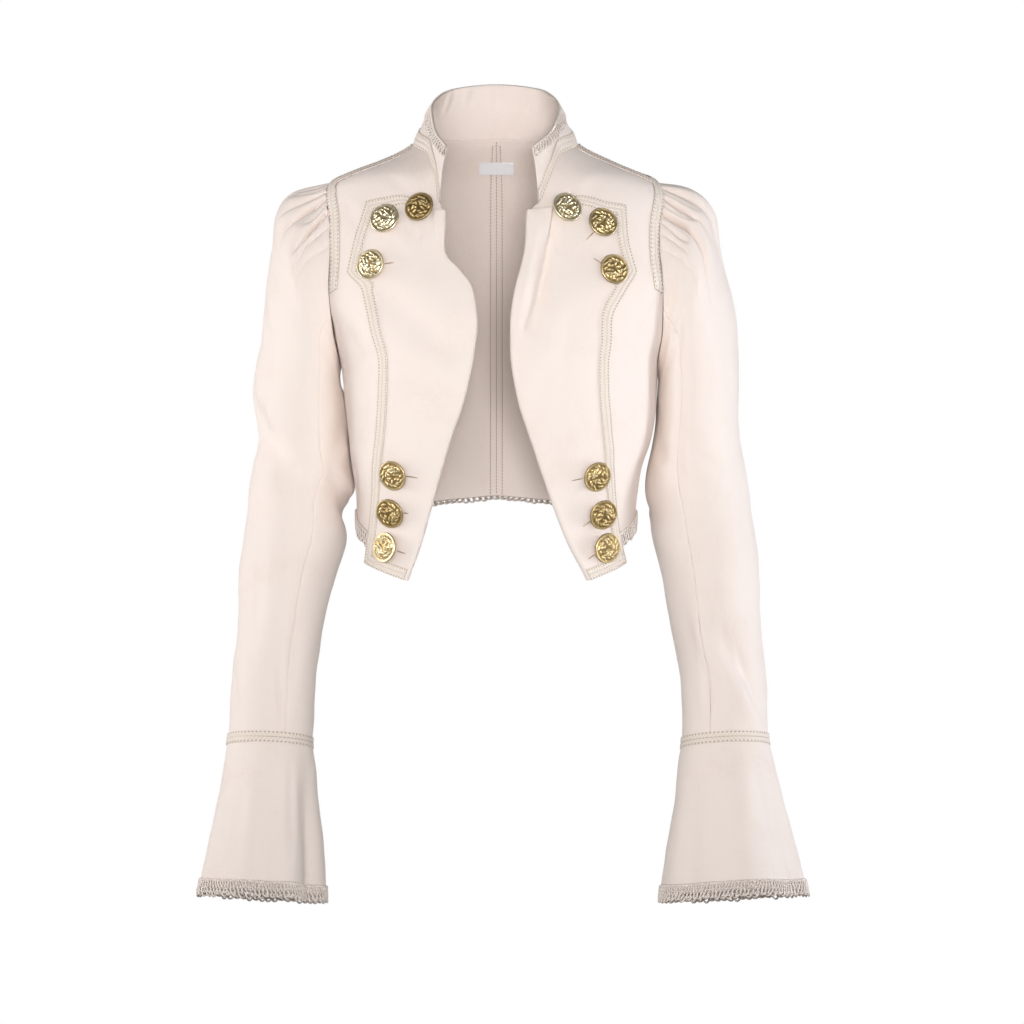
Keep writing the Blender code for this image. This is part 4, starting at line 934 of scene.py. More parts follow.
def add_node(tree, kind, inputs=None, stops=(), **settings):
    """One node with its settings and links: an input is a value, a socket or a node for its first output.

    The stops of a colour ramp are positions and colours.
    """
    made = tree.nodes.new(kind)
    for name, value in settings.items():
        setattr(made, name, value)
    for name, value in (inputs or {}).items():
        if isinstance(value, bpy.types.Node):
            value = value.outputs[0]
        if isinstance(value, bpy.types.NodeSocket):
            tree.links.new(value, made.inputs[name])
        else:
            made.inputs[name].default_value = value
    for number, (position, colour) in enumerate(stops):
        elements = made.color_ramp.elements
        stop = elements[number] if number < len(elements) else elements.new(position)
        stop.position, stop.color = position, colour
    return made


def new_finish(name, **surface):
    """A material with constant values on its shader's sockets, and places on the piece for its patterns."""
    material = bpy.data.materials.new(name)
    material.use_nodes = True
    tree = material.node_tree
    shader = tree.nodes["Principled BSDF"]
    for socket, value in surface.items():
        shader.inputs[socket.replace("_", " ")].default_value = value
    return material, tree, shader, add_node(tree, "ShaderNodeTexCoord").outputs["Object"]


def linen_cotton():
    """Linen and cotton cloth, washed: matt, softly slubbed, with a thin bloom of fibre.

    Threads are about 0.4 mm apart, too fine for the picture, so the slubs are drawn 0.9 mm wide.
    """
    material, tree, shader, place = new_finish("ivory_linen_cotton", Roughness=0.88, Sheen_Weight=0.12,
                                               Sheen_Roughness=0.5, Specular_IOR_Level=0.25)
    weave = add_node(tree, "ShaderNodeUVMap", uv_map="weave")
    slubs = []
    for scale in ((1 / SLUB_LENGTH, 1 / SLUB_WIDTH, 1.0), (1 / SLUB_WIDTH, 1 / SLUB_LENGTH, 1.0)):
        stretched = add_node(tree, "ShaderNodeMapping", {"Vector": weave, "Scale": scale})
        slubs.append(add_node(tree, "ShaderNodeTexNoise", {"Vector": stretched, "Scale": 1.0, "Detail": 2.0}))
    cloth = add_node(tree, "ShaderNodeMath", {0: slubs[0], 1: slubs[1]}, operation="ADD")
    cloud = add_node(tree, "ShaderNodeTexNoise", {"Vector": place, "Scale": 1 / CLOUD, "Detail": 3.0})
    tone = add_node(tree, "ShaderNodeMath", {0: cloth, 1: 0.55, 2: cloud}, operation="MULTIPLY_ADD")
    stops = (0.72, paint("#EDDED5")), (1.0, paint("#F1E4DC"))
    colour = add_node(tree, "ShaderNodeValToRGB", {"Fac": tone}, stops)
    fuzz = add_node(tree, "ShaderNodeTexNoise", {"Vector": place, "Scale": 1 / FUZZ, "Detail": 4.0})
    relief = add_node(tree, "ShaderNodeMath", {0: fuzz, 1: 0.6, 2: cloth}, operation="MULTIPLY_ADD")
    bump = add_node(tree, "ShaderNodeBump", {"Height": relief, "Strength": 0.35, "Distance": 0.0005})
    tree.links.new(colour.outputs[0], shader.inputs["Base Color"])
    tree.links.new(bump.outputs[0], shader.inputs["Normal"])
    return material


def cotton_yarn(name, light, dark, strand):
    """Plied cotton yarn, as in braid, crochet and sewing thread: matt, twisted, with painted shade where
    strands dip.

    The ply's twist is about 0.5 mm long and is drawn at the size given, so that it shows.
    """
    material, tree, shader, place = new_finish(name, Roughness=0.85, Sheen_Weight=0.10,
                                               Specular_IOR_Level=0.25)
    ply = add_node(tree, "ShaderNodeTexNoise", {"Vector": place, "Scale": 1 / strand, "Detail": 3.0})
    # Painted shade from the piece's attribute: darker in hollows, where yarn passes behind and under the
    # braid
    dip = add_node(tree, "ShaderNodeAttribute", attribute_name="painted_shade_and_patina").outputs["Fac"]
    tone = add_node(tree, "ShaderNodeMath", {0: ply, 1: 0.30, 2: dip}, operation="MULTIPLY_ADD")
    stops = (0.15, paint(light)), (0.95, paint(dark))
    colour = add_node(tree, "ShaderNodeValToRGB", {"Fac": tone}, stops)
    bump = add_node(tree, "ShaderNodeBump", {"Height": ply, "Strength": 0.4, "Distance": 0.0003})
    tree.links.new(colour.outputs[0], shader.inputs["Base Color"])
    tree.links.new(bump.outputs[0], shader.inputs["Normal"])
    return material


def antique_gold_brass():
    """Stamped brass with an antique gold finish: dark in the hollows, rubbed bright on the raised relief."""
    material, tree, shader, place = new_finish("antique_gold_brass", Metallic=1.0)
    dip = add_node(tree, "ShaderNodeAttribute", attribute_name="painted_shade_and_patina").outputs["Fac"]
    stain = add_node(tree, "ShaderNodeTexNoise", {"Vector": place, "Scale": 1 / STAIN, "Detail": 4.0})
    tone = add_node(tree, "ShaderNodeMath", {0: stain, 1: 0.30, 2: dip}, operation="MULTIPLY_ADD")
    stops = (0.20, paint("#F6E9C6")), (0.55, paint("#CDB27C")), (1.0, paint("#6E5430"))
    colour = add_node(tree, "ShaderNodeValToRGB", {"Fac": tone}, stops)
    wear = add_node(tree, "ShaderNodeMath", {0: tone, 1: 0.30, 2: 0.26}, operation="MULTIPLY_ADD")
    bump = add_node(tree, "ShaderNodeBump", {"Height": stain, "Strength": 0.15, "Distance": 0.0002})
    tree.links.new(colour.outputs[0], shader.inputs["Base Color"])
    tree.links.new(wear.outputs[0], shader.inputs["Roughness"])
    tree.links.new(bump.outputs[0], shader.inputs["Normal"])
    return material


def studio_paint():
    """Matt pale grey studio paint, faintly mottled, that only catches soft light."""
    material, tree, shader, place = new_finish("matt_pale_paint", Roughness=0.9)
    mottle = add_node(tree, "ShaderNodeTexNoise", {"Vector": place, "Scale": 1 / MOTTLE})
    stops = (0.0, paint("#E2E2E0")), (1.0, paint("#E9E9E7"))
    colour = add_node(tree, "ShaderNodeValToRGB", {"Fac": mottle}, stops)
    tree.links.new(colour.outputs[0], shader.inputs["Base Color"])
    return material


# Cloth, braid, crochet yarn, sewing thread, the label's satin tape and the buttons' metal
COTTON = linen_cotton()
BRAID_YARN = cotton_yarn("ivory_cotton_braid", "#F2E6DB", "#8F7864", 0.0006)
CROCHET_YARN = cotton_yarn("ivory_crochet_cotton", "#F5EBE4", "#AF9D90", 0.0005)
THREAD_YARN = cotton_yarn("tan_sewing_thread", "#BBA58C", "#8F7B64", 0.0004)
LABEL_TAPE = cotton_yarn("white_satin_tape", "#F2F2F5", "#D4D4DC", 0.0008)
GOLD = antique_gold_brass()


# Cloth pieces


def front_panel(side):
    """Front panel from the shoulder seam to the hem; its free edge stops inside the lapel's roll."""
    columns = np.concatenate([np.linspace(0, 1, 19), np.linspace(1, 2, 30)[1:]])
    row, across = np.meshgrid(np.linspace(0, ROW["hem"], FRONT_ROWS), columns, indexing="ij")
    points, normals = front_at(side, row, across)
    inward = unit(points[:, 3] - points[:, 0])
    near_edge = np.clip(1 - across / RECESS_REACH, 0, 1) * ease((row - ROW["neck_3"]) / RECESS_START)
    points = points + inward[:, None] * (LAPEL_RECESS * near_edge)[..., None]
    return shell("front_panel_" + side, points, normals, COTTON)


def row_width(side, row):
    """Width of the lapel's part of the front panel along each row."""
    return run_length(front_at(side, row[..., None], np.linspace(0.0, 1.0, 25))[0])[..., -1]


def walk(panel_at, side, rows, across, distance):
    """Where each walk over a panel has gone a distance: its row and place across."""
    rows, across = np.broadcast_arrays(rows, across)
    return at_distance(panel_at(side, rows, across)[0], distance, rows, across)


def inset(panel_at, side, row, start, toward, distance):
    """Place across a panel that lies a distance along its row from a start."""
    return walk(panel_at, side, row[:, None], np.linspace(start, toward, 161)[None], distance)[1]


def lapel_height(distance):
    """How far the lapel's face stands off the front: full at its roll, easing down to its own thickness."""
    eased = np.exp(-np.maximum(distance - ROLL_RADIUS, 0.0) / ROLL_EASE)
    return LAPEL_STAND + (ROLL_RADIUS - LAYER / 2 - LAPEL_STAND) * eased


def folded_edge(side, points):
    """How far the folded front edge stands off the lapel: rising to its far line, then a smooth step down."""
    own = FOLDED_EDGE[side]
    line, stand, soft = (np.interp(-points[..., 2], -column(own, "z"), column(own, name))
                         for name in ("line", "stand", "soft"))
    within = line - np.abs(points[..., 0])
    return stand * np.clip(1 - within / FOLDED_WIDTH, FOLDED_LEAST, 1.0) * ease(within / soft + 0.5)


def lapel_top_row(side, across):
    """Row of the lapel's top edge at a place across, which rises from its outer corner toward the neck."""
    own = LAPEL_RISE[side]
    return ROW["lapel_top"] - smooth(column(own, "across"), column(own, "rows"), across)


def lapel_face(side, row, across):
    """The lapel's outer face at a row and a place across, with its outward directions."""
    points, normals = front_at(side, row, across)
    height = lapel_height(across * row_width(side, row)) + folded_edge(side, points)
    return points + normals * height[..., None], normals


def lapel_cloth(side):
    """Lapel: a short return inside, a half turn round the free edge, then the face, all down its length."""
    down = np.linspace(0, 1, FRONT_ROWS)
    rows = ROW["lapel_top"] + (ROW["lapel_hem"] - ROW["lapel_top"]) * down
    edge, out = front_at(side, rows, 0.0)
    inward = unit(front_at(side, rows, ROLL_RADIUS / row_width(side, rows))[0] - edge)
    inward = unit(inward - out * np.sum(inward * out, axis=-1, keepdims=True))
    middle = edge + inward * ROLL_RADIUS + out * (folded_edge(side, edge) - LAYER / 2)[:, None]
    inside = middle - out * ROLL_RADIUS + inward * np.linspace(LAPEL_RETURN, 0.0, 5)[:-1, None, None]
    turn = np.radians(np.linspace(-90, 90, 11))[:, None, None]
    turned = out * np.sin(turn) - inward * np.cos(turn)
    roll = middle + turned * ROLL_RADIUS
    share = np.concatenate([np.linspace(first, last, count)[1:] for first, last, count in LAPEL_COLUMNS])
    first = lapel_top_row(side, share)
    face_rows = first + (ROW["lapel_hem"] - first) * down[:, None]
    start = ROLL_RADIUS / row_width(side, face_rows)
    face, normals = lapel_face(side, face_rows, start + (1 - start) * share)
    inside_out = np.broadcast_to(-out, inside.shape)
    points = np.concatenate([inside.swapaxes(0, 1), roll.swapaxes(0, 1), face], axis=1)
    outward = np.concatenate([inside_out.swapaxes(0, 1), turned.swapaxes(0, 1), normals], axis=1)
    return shell("lapel_cloth_" + side, points, outward, COTTON)


def back_panel(side):
    """Back panel from the shoulder seam and neckline to the hem."""
    row, across = np.meshgrid(np.linspace(0, BACK_HEM_ROW, 118), np.linspace(0, 1, 56), indexing="ij")
    points, normals = back_at(side, row, across)
    return shell("back_panel_" + side, points, normals, COTTON)


def collar_grid():
    """Stand collar: straight from the neckline up to the rim, bulged by a sine over its height, with creases.

    The rim's table runs on as its mirror image past the centre back, so that the halves meet without a peak.
    """
    knots = column(COLLAR_RIM, "share")
    knots = np.concatenate([knots, 2 - knots[-2::-1]])
    halves = {}
    for side in SIDES:
        base = np.concatenate([front_at(side, np.linspace(ROW["neck_3"], 0, 44), 0.0)[0],
                               back_at(side, np.linspace(0, BACK_NECK_ROW, 44), 0.0)[0][1:]])
        share = run_length(base) / run_length(base)[-1]
        rim = []
        for name, mirror in (("x_" + side, -1), ("y", 1), ("z", 1)):
            values = column(COLLAR_RIM, name)
            rim.append(smooth(knots, np.concatenate([values, mirror * values[-2::-1]]), share))
        halves[side] = base, np.stack([SIDES[side] * rim[0], *rim[1:]], axis=-1)
    base, rim = (np.concatenate([halves["right"][part], halves["left"][part][-2::-1]]) for part in (0, 1))
    base = base - unit(rim - base) * COLLAR_LAP
    share = np.linspace(0.0, 1.0, 24)[:, None, None]
    points = base + (rim - base) * share
    normals = grid_normals(points, points * FLAT)[0]
    along = run_length(points[12]) - run_length(points[12])[-1] / 2
    pulls = creases_at("collar", along, share[..., 0] * COLLAR_HEIGHT)[..., None]
    wave = ripple(points, COLLAR_SEED)[..., None] * np.sin(math.pi * share) * COLLAR_RIPPLE
    return points + normals * (COLLAR_BULGE * np.sin(math.pi * share) + wave + pulls), normals


def sleeve_cloth(side, part):
    """Top or under sleeve, from seam to seam and from the armhole to the wrist."""
    if part == "top":
        column_turn = gathered_columns(side, 156)
    else:
        column_turn = np.linspace(SLEEVE_SEAM, 2 * math.pi - SLEEVE_SEAM, 36)
    ring = np.concatenate([[0, SLEEVE_FIRST_STEP], np.linspace(0, 4, 40)[1:-1], np.linspace(4, 8, 28)[:-1],
                           np.linspace(8, len(SLEEVE), 64)])
    points, outward = sleeve_at(side, column_turn, ring)
    return shell(f"sleeve_{part}_cloth_{side}", points, outward, COTTON)


def cuff_cloth(side):
    """Flared cuff, closed round the wrist. Gives the piece, its grid and its outward directions."""
    points, outward = cuff_at(side, CUFF_ROUND, np.linspace(0, len(CUFF) - 1, 46))
    piece = shell("cuff_cloth_" + side, points, outward, COTTON, closed=True)
    return piece, points, grid_normals(points, outward, closed=True)[0]


# Braid


def half_round(at, middle, half):
    """Height of a half-round band across its middle, from 0 at its edges to 1."""
    return np.sqrt(np.clip(1 - ((at - middle) / half) ** 2, 0.0, 1.0))


def plait(along, across):
    """Braid's face: cords along the edges, dimples between their beads, and two rows of slanted strands.

    Each cord and row is half round; a dimple is a bell round each place between two beads. Gives the
    height and the painted shade of the dimples and of the gaps between strands.
    """
    from_middle = np.abs(across - 0.5) * 2
    edge = half_round(from_middle, *CORD)
    inner = half_round(from_middle, STRAND_ROW, STRAND_ROW)
    row = (from_middle - STRAND_ROW) / STRAND_ROW
    off_centre = PLAIT_PITCH / math.pi * np.sin(math.pi * along / PLAIT_PITCH)
    aside = (from_middle - DIMPLE_PLACE) * BRAID_WIDTH / 2
    dimple = np.exp(-(off_centre / DIMPLE_LENGTH) ** 2 - (aside / DIMPLE_WIDTH) ** 2)
    strand = np.abs(np.cos(math.pi * (along / PLAIT_PITCH + STRAND_SLANT * row))) ** STRAND_ROUND
    strands = STRAND_HEIGHT * inner * (1 - STRAND_DIP + STRAND_DIP * strand)
    height = BRAID * (BRAID_BASE + CORD_HEIGHT * edge + strands - DIMPLE_DEPTH * dimple)
    # Painted shade: darker in the dimples and between the strands, where shade falls
    hollow_shade_and_patina = DIMPLE_PAINTED_SHADE * dimple + STRAND_PAINTED_SHADE * (1 - inner * strand) * (from_middle < STRAND_EDGE)
    return height, hollow_shade_and_patina


def braid(name, lines, outs, lift=BRAID_LIFT, larger=1.0):
    """Braid over lines on the cloth, edge to edge: a plaited face over a flat back, closed all round."""
    lines, outs = np.asarray(lines), np.asarray(outs)
    gone = run_length(lines.mean(axis=0))
    along = np.linspace(0, gone[-1], max(int(gone[-1] / BRAID_STEP), 8) + 1)
    across = np.concatenate([BRAID_COLUMNS, [0.5], 1 - BRAID_COLUMNS[::-1]])
    low = np.clip((across * (len(lines) - 1)).astype(int), 0, len(lines) - 2)
    share = (across * (len(lines) - 1) - low)[None, :, None]

    def read(values):
        """Values at even steps along the lines and at each place across, straight between."""
        even = np.stack([[np.interp(along, gone, line[:, axis]) for axis in range(3)] for line in values])
        even = even.transpose(2, 0, 1)
        return even[:, low] * (1 - share) + even[:, low + 1] * share

    base, out = read(lines), unit(read(outs))
    height, hollow_shade_and_patina = plait(along[:, None] / larger, across)
    face = base + out * (lift + height)[..., None]
    under = (base + out * lift)[:, [0, -1]]
    rows, columns = face.shape[:2]
    number = np.arange(rows * columns).reshape(rows, columns)
    below = np.arange(rows * 2).reshape(rows, 2) + rows * columns
    grids = [number, below[:, ::-1], np.stack([below[:, 0], number[:, 0]], axis=1),
             np.stack([number[:, -1], below[:, 1]], axis=1)]
    quads = np.concatenate([grid_quads(grid).reshape(-1, 4) for grid in grids])
    if grid_normals(face, out)[1] < 0:
        quads = quads[:, ::-1]
    points = np.concatenate([face.reshape(-1, 3), under.reshape(-1, 3)])
    # Painted shade on the braid's face; its flat back gets a fixed mid painted shade
    painted_shade_and_patina = np.concatenate([hollow_shade_and_patina.ravel(), np.full(rows * 2, 0.5)])
    return add_piece(name, points, quads, BRAID_YARN, painted_shade_and_patina=painted_shade_and_patina)


def lapel_braid(side):
    """Braid along the lapel's top, outer and lower edges: lines in from the edges by its width, mitred."""
    hem, width = float(ROW["lapel_hem"]), BRAID_WIDTH * LAPEL_BRAID_SPREAD
    short, long, steps = np.linspace(0, 1, 60), np.linspace(0, 1, 260), np.linspace(0, 1.8, 91)

    def edge_slant(row):
        """Sine of the angle between the lapel's outer edge and its rows."""
        edge = front_at(side, np.stack([row - 0.02, row + 0.02]), 1.0)[0]
        level = unit(front_at(side, row, 1.0)[0] - front_at(side, row, 0.9)[0])
        return np.sqrt(np.clip(1 - np.sum(unit(edge[1] - edge[0]) * level, axis=-1) ** 2, 0.3, 1.0))

    def from_edge(row, distance):
        """Place across each row at a distance square to the outer edge."""
        slant = edge_slant(np.clip(row, ROW["lapel_top"] + 0.1, hem - 0.1))
        return inset(front_at, side, row, 1.0, 0.0, distance / slant)

    def below_top(across, distance):
        """Row at each place across, a distance below the top edge."""
        first = lapel_top_row(side, across)
        return walk(front_at, side, first[:, None] + steps, across[:, None], distance)[0]

    def above_hem(across, distance):
        """Row at each place across, a distance above the lower edge."""
        return walk(front_at, side, (hem - 0.5 * steps)[None], across[:, None], distance)[0]

    runs = []
    for part in BRAID_LINES:
        distance = width * part
        corner, low_corner = np.array([1.0]), np.array([1.0])
        for _ in range(3):
            first, last = below_top(corner, distance), above_hem(low_corner, distance)
            corner, low_corner = from_edge(first, distance), from_edge(last, distance)
        top = LAPEL_BRAID_START[side] + (corner - LAPEL_BRAID_START[side]) * short[:-1]
        down = first + (last - first) * long
        low = low_corner + (LAPEL_BRAID_END - low_corner) * short[1:]
        rows = np.concatenate([below_top(top, distance), down, above_hem(low, distance)])
        runs.append(lapel_face(side, rows, np.concatenate([top, from_edge(down, distance), low])))
    return braid("braid_lapel_" + side, *zip(*runs))


def armhole_braid(side):
    """Braid inside the armhole seam, from the front chest over the shoulder tip and down the back."""
    front_rows = np.linspace(0, ARMHOLE_BRAID_ROWS[0], 90)[::-1]
    back_rows = np.linspace(0, ARMHOLE_BRAID_ROWS[1], 90)[1:]
    runs = []
    for part in BRAID_LINES:
        distance = BRAID_INSET + WIDE_BRAID * part
        front = front_at(side, front_rows, inset(front_at, side, front_rows, 2.0, 1.0, distance))
        back = back_at(side, back_rows, inset(back_at, side, back_rows, 1.0, 0.4, distance))
        runs.append([np.concatenate(ends) for ends in zip(front, back)])
    return braid("braid_armhole_" + side, *zip(*runs), lift=SEAM_BRAID_LIFT, larger=COARSE_PLAIT)


def shoulder_braid(side):
    """Braid along the ridge of the shoulder seam, half its width on the front panel and half on the back."""
    z = np.linspace(SHOULDER_BRAID_TOP, SHOULDER_BRAID_END, 60)
    turn = FRONT[0].lapel_z
    front_across = np.where(z > turn, z / turn, 1 + (z - turn) / (FRONT[0].side_z - turn))
    back_across = z / BACK[0].side_z
    runs = []
    for panel_at, across, distances in ((front_at, front_across, SHOULDER_BRAID_LINES[::-1]),
                                        (back_at, back_across, SHOULDER_BRAID_LINES)):
        first, second = (panel_at(side, np.full_like(z, row), across)[0] for row in (0.0, 0.5))
        per_row = np.linalg.norm(second - first, axis=-1) / 0.5
        runs += [panel_at(side, distance / per_row, across) for distance in distances]
    return braid("braid_shoulder_" + side, *zip(*runs), lift=SHOULDER_BRAID_LIFT)


def wrist_braid(side, normals):
    """Braid round the seam between sleeve and cuff."""
    theta = np.append(CUFF_ROUND, 2 * math.pi)
    wrist = ring_at(side, SLEEVE[-1], theta)
    rise = unit(ring_at(side, SLEEVE[-2], theta) - wrist)
    fall = unit(ring_at(side, CUFF[1], theta) - wrist)
    half = BRAID_WIDTH / 2
    above = [wrist + rise * half, wrist + rise * half / 2]
    lines = [*above, wrist, wrist + fall * half / 2, wrist + fall * half]
    out = np.concatenate([normals[0], normals[0][:1]])
    return braid("braid_wrist_" + side, lines, [out] * len(lines), lift=SEAM_BRAID_LIFT, larger=COARSE_PLAIT)


def collar_line(points, distance):
    """Line along the collar at a distance up from its base, or down from its rim if negative."""
    grid = (points if distance >= 0 else points[::-1]).swapaxes(0, 1)
    return at_distance(grid, abs(distance), grid)[0]


def neck_braid(points, normals):
    """Braid along the collar's lower edge, over the neck seam."""
    lines = [collar_line(points, WIDE_BRAID * part) for part in BRAID_LINES]
    return braid("braid_neck", lines, normals[[0, 1, 2, 4, 5]], larger=COARSE_PLAIT)


# Crochet


def crochet(name, ribbon, strands, seed, fullness=1.0):
    """Crochet edging: strands of yarn that swing between two heights, rolled into uneven loops.

    Along the ribbon a strand's height follows a raised cosine of its pitch. A sine of the same pitch carries
    it to and fro, so that swings roll over into loops, and another in and out. Seeded draws make each loop
    longer or shorter. Fullness scales the heights along the ribbon. The yarn has painted shade where it
    passes behind, and a seeded mottle of its own tone.
    """
    draw = np.random.default_rng(seed)
    gone = run_length(ribbon.line)
    total = gone[-1]
    fullness = np.broadcast_to(fullness, gone.shape)
    parts, painted_shade_and_patina = [], []
    for strand in strands:
        loops = max(round(total / strand.pitch), 1)
        pitch = total / loops
        along = np.linspace(0, total, loops * strand.steps + 1)
        turn = 2 * math.pi * along / pitch + strand.phase
        longer = np.interp(along, np.linspace(0, total, loops + 1), draw.uniform(-1, 1, loops + 1))
        swing = (1 - np.cos(turn)) / 2
        height = strand.top + (strand.bottom - strand.top) * swing * (1 + strand.uneven * longer)
        height = height * np.interp(along, gone, fullness)
        sway = along + strand.curl * pitch * np.sin(turn) + LOOP_SWAY * pitch * longer
        lift = strand.lift + strand.depth * np.sin(turn)
        path, out = lay(ribbon, np.clip(sway, 0, total)[None], height[None], lift[None])
        parts.append(tubes(path, out, strand.yarn, 4))
        # Painted shade where the yarn passes behind; the drawn mottle is the yarn's own uneven tone
        behind = LOOP_PAINTED_SHADE - LOOP_PAINTED_SHADE * np.sin(turn)
        painted_shade_and_patina.append(np.repeat(behind + draw.uniform(0.0, LOOP_MOTTLE, len(turn)), 4))
    points, quads = joined(parts)
    return add_piece(name, points, quads, CROCHET_YARN, painted_shade_and_patina=np.concatenate(painted_shade_and_patina))


def cuff_crochet(side, cuff, normals):
    """Crochet edging below the cuff's hem."""
    fall = unit(cuff[-1] - cuff[-2])
    runs = (cuff[-1] - fall * LACE_LAP, -fall, normals[-1])
    closing = [np.concatenate([values, values[:1]]) for values in runs]
    return crochet("crochet_cuff_" + side, Ribbon(*closing), STRANDS["cuff"], CUFF_LACE_SEED)


def hem_crochet():
    """Crochet edging along the body hem, from one lapel's edge round the back to the other's."""
    halves = []
    for side, order in (("right", 1), ("left", -1)):
        front = front_at(side, np.full(70, float(ROW["hem"])), np.linspace(1.0, 2.0, 70))
        back = back_at(side, np.full(90, float(BACK_HEM_ROW)), np.linspace(1.0, 0.0, 90))
        halves.append([np.concatenate([front[part], back[part][1:]])[::order] for part in (0, 1)])
    line, out = (np.concatenate([halves[0][part], halves[1][part][1:]]) for part in (0, 1))
    fall = unit(out * out[:, 2:] - UP)
    return crochet("crochet_hem", Ribbon(line, -fall, out), STRANDS["hem"], HEM_LACE_SEED,
                   fullness=1 - HEM_BACK_NARROWS * ease(line[:, 1] / HEM_NARROWED))


def collar_crochet(points, normals):
    """Crochet edging laid on the collar's outer face, its chain along the rim and its loops downward."""
    rim, below = (collar_line(points, -drop) for drop in COLLAR_LACE_DROPS)
    fall = unit(below - rim)
    return crochet("crochet_collar", Ribbon(rim, -fall, normals[-1]), STRANDS["collar"], COLLAR_LACE_SEED)


# Sewing


def stitch_row(line, out):
    """Sewn stitches along a line on the cloth: each rises from it, runs on and dips back."""
    starts = np.arange(0.001, run_length(line)[-1] - STITCH_LENGTH, STITCH_PITCH)[:, None]
    along = starts + STITCH_LENGTH * STITCH_SHARES
    path, away = lay(Ribbon(line, out, out), along, 0.0, STITCH_LIFTS)
    return tubes(path, away, THREAD, 4)


def seam_rows():
    """Rows of stitches each side of the centre back seam, outside and inside."""
    parts = []
    rows = np.linspace(BACK_NECK_ROW + 0.10, BACK_HEM_ROW - 0.02, 160)
    for side in SIDES:
        line, out = back_at(side, rows, inset(back_at, side, rows, 0.0, 0.5, SEAM_ROW))
        parts += [stitch_row(line, out), stitch_row(line - out * FELL_DEPTH, -out)]
    line, out = back_at("right", rows, 0.0)
    return parts + [stitch_row(line - out * FELL_DEPTH, -out)]


def felled_seam():
    """Flat felled seam inside the centre back: a low strip of cloth across the join."""
    rows = np.linspace(BACK_NECK_ROW + 0.05, BACK_HEM_ROW - 0.02, 110)
    lines, outs = [], []
    for side, distances in (("right", SEAM_FELL[::-1]), ("left", SEAM_FELL)):
        for distance in distances:
            line, out = back_at(side, rows, inset(back_at, side, rows, 0.0, 0.5, distance))
            lines.append(line - out * FELL_DEPTH)
            outs.append(-out)
    return shell("felled_seam", np.stack(lines, axis=1), np.stack(outs, axis=1), COTTON, thickness=FELL)


def shoulder_rows(side):
    """Two rows of stitches in front of the shoulder seam, and the low felled strip that they hold down."""
    z = np.linspace(*SHOULDER_FELL_RUN, 76)
    x = np.abs(on_form(side, np.full_like(z, math.pi / 2), z)[:, 0]) - 0.0005
    lines, outs = [], []
    for drop in SHOULDER_FELL:
        angle = angle_at(side, x, z - drop)
        outs.append(form_normal(side, angle, z - drop))
        lines.append(on_form(side, angle, z - drop) + outs[-1] * (FELL + STRIP_GAP))
    points, outward = np.stack(lines, axis=1), np.stack(outs, axis=1)
    strip = shell("shoulder_fell_" + side, points, outward, COTTON, thickness=FELL)
    return strip, [stitch_row(lines[row], outs[row]) for row in (1, -2)]


# Where a button stands: the point on the lapel, the ways out, inward and upward there, its axis and base
Stand = namedtuple("Stand", "place out inward upward axis base")


def button_stand(side, item):
    """Where a button stands on its lapel, leaned about its shank's foot so that its rim clears the cloth."""
    x, z = np.array([item.x]), np.array([item.z])
    angle = angle_at(side, x, z)
    out = form_normal(side, angle, z)
    fold = sum(soft_line(item.x, item.z, fold) for fold in FRONT_FOLDS[side])
    place = (on_form(side, angle, z) + out * (LAPEL_STAND + fold))[0]
    out = out[0]
    inward = unit(np.cross(UP, out)) * -SIDES[side]
    upward = unit(np.cross(out, np.cross(UP, out)))
    aside, up = (math.tan(math.radians(lean)) for lean in (item.lean_side, item.lean_up))
    axis = unit(out + inward * aside + upward * up)
    lean = math.acos(float(np.clip(axis @ out, -1.0, 1.0)))
    dip = max(0.0, BUTTON_RADIUS * math.sin(lean) - SHANK_HEIGHT * math.cos(lean))
    height = dip + BUTTON_GAP + item.braids * (BUTTON_GAP + SOLID_BRAID)
    return Stand(place, out, inward, upward, axis, place + out * height)


def buttonholes():
    """Buttonholes beside the buttons: two fine corded lips along a slit, each a thread on the lapel."""
    parts = []
    for side, item in ((side, item) for side in SIDES for item in BUTTONS[side] if item.slit):
        stand = button_stand(side, item)
        turn = math.radians(item.slit_degrees)
        way = stand.inward * math.cos(turn) + stand.upward * math.sin(turn)
        aside = np.cross(stand.out, way)
        reach = np.linspace(BUTTON_RADIUS - 0.002, BUTTON_RADIUS + item.slit, 14)[:, None]
        taper = np.sin(np.linspace(0.3, 1.0, 14) * math.pi)[:, None] * SLIT_LIP
        for lip in (-1.0, 1.0):
            line = stand.place + way * reach + aside * lip * taper + stand.out * SLIT_LIFT
            parts.append(tubes(line[None], stand.out, SLIT_LIP, 4))
    points, quads = joined(parts)
    return add_piece("buttonholes", points, quads, THREAD_YARN, painted_shade_and_patina=np.full(len(points), 0.0))


# Buttons and label


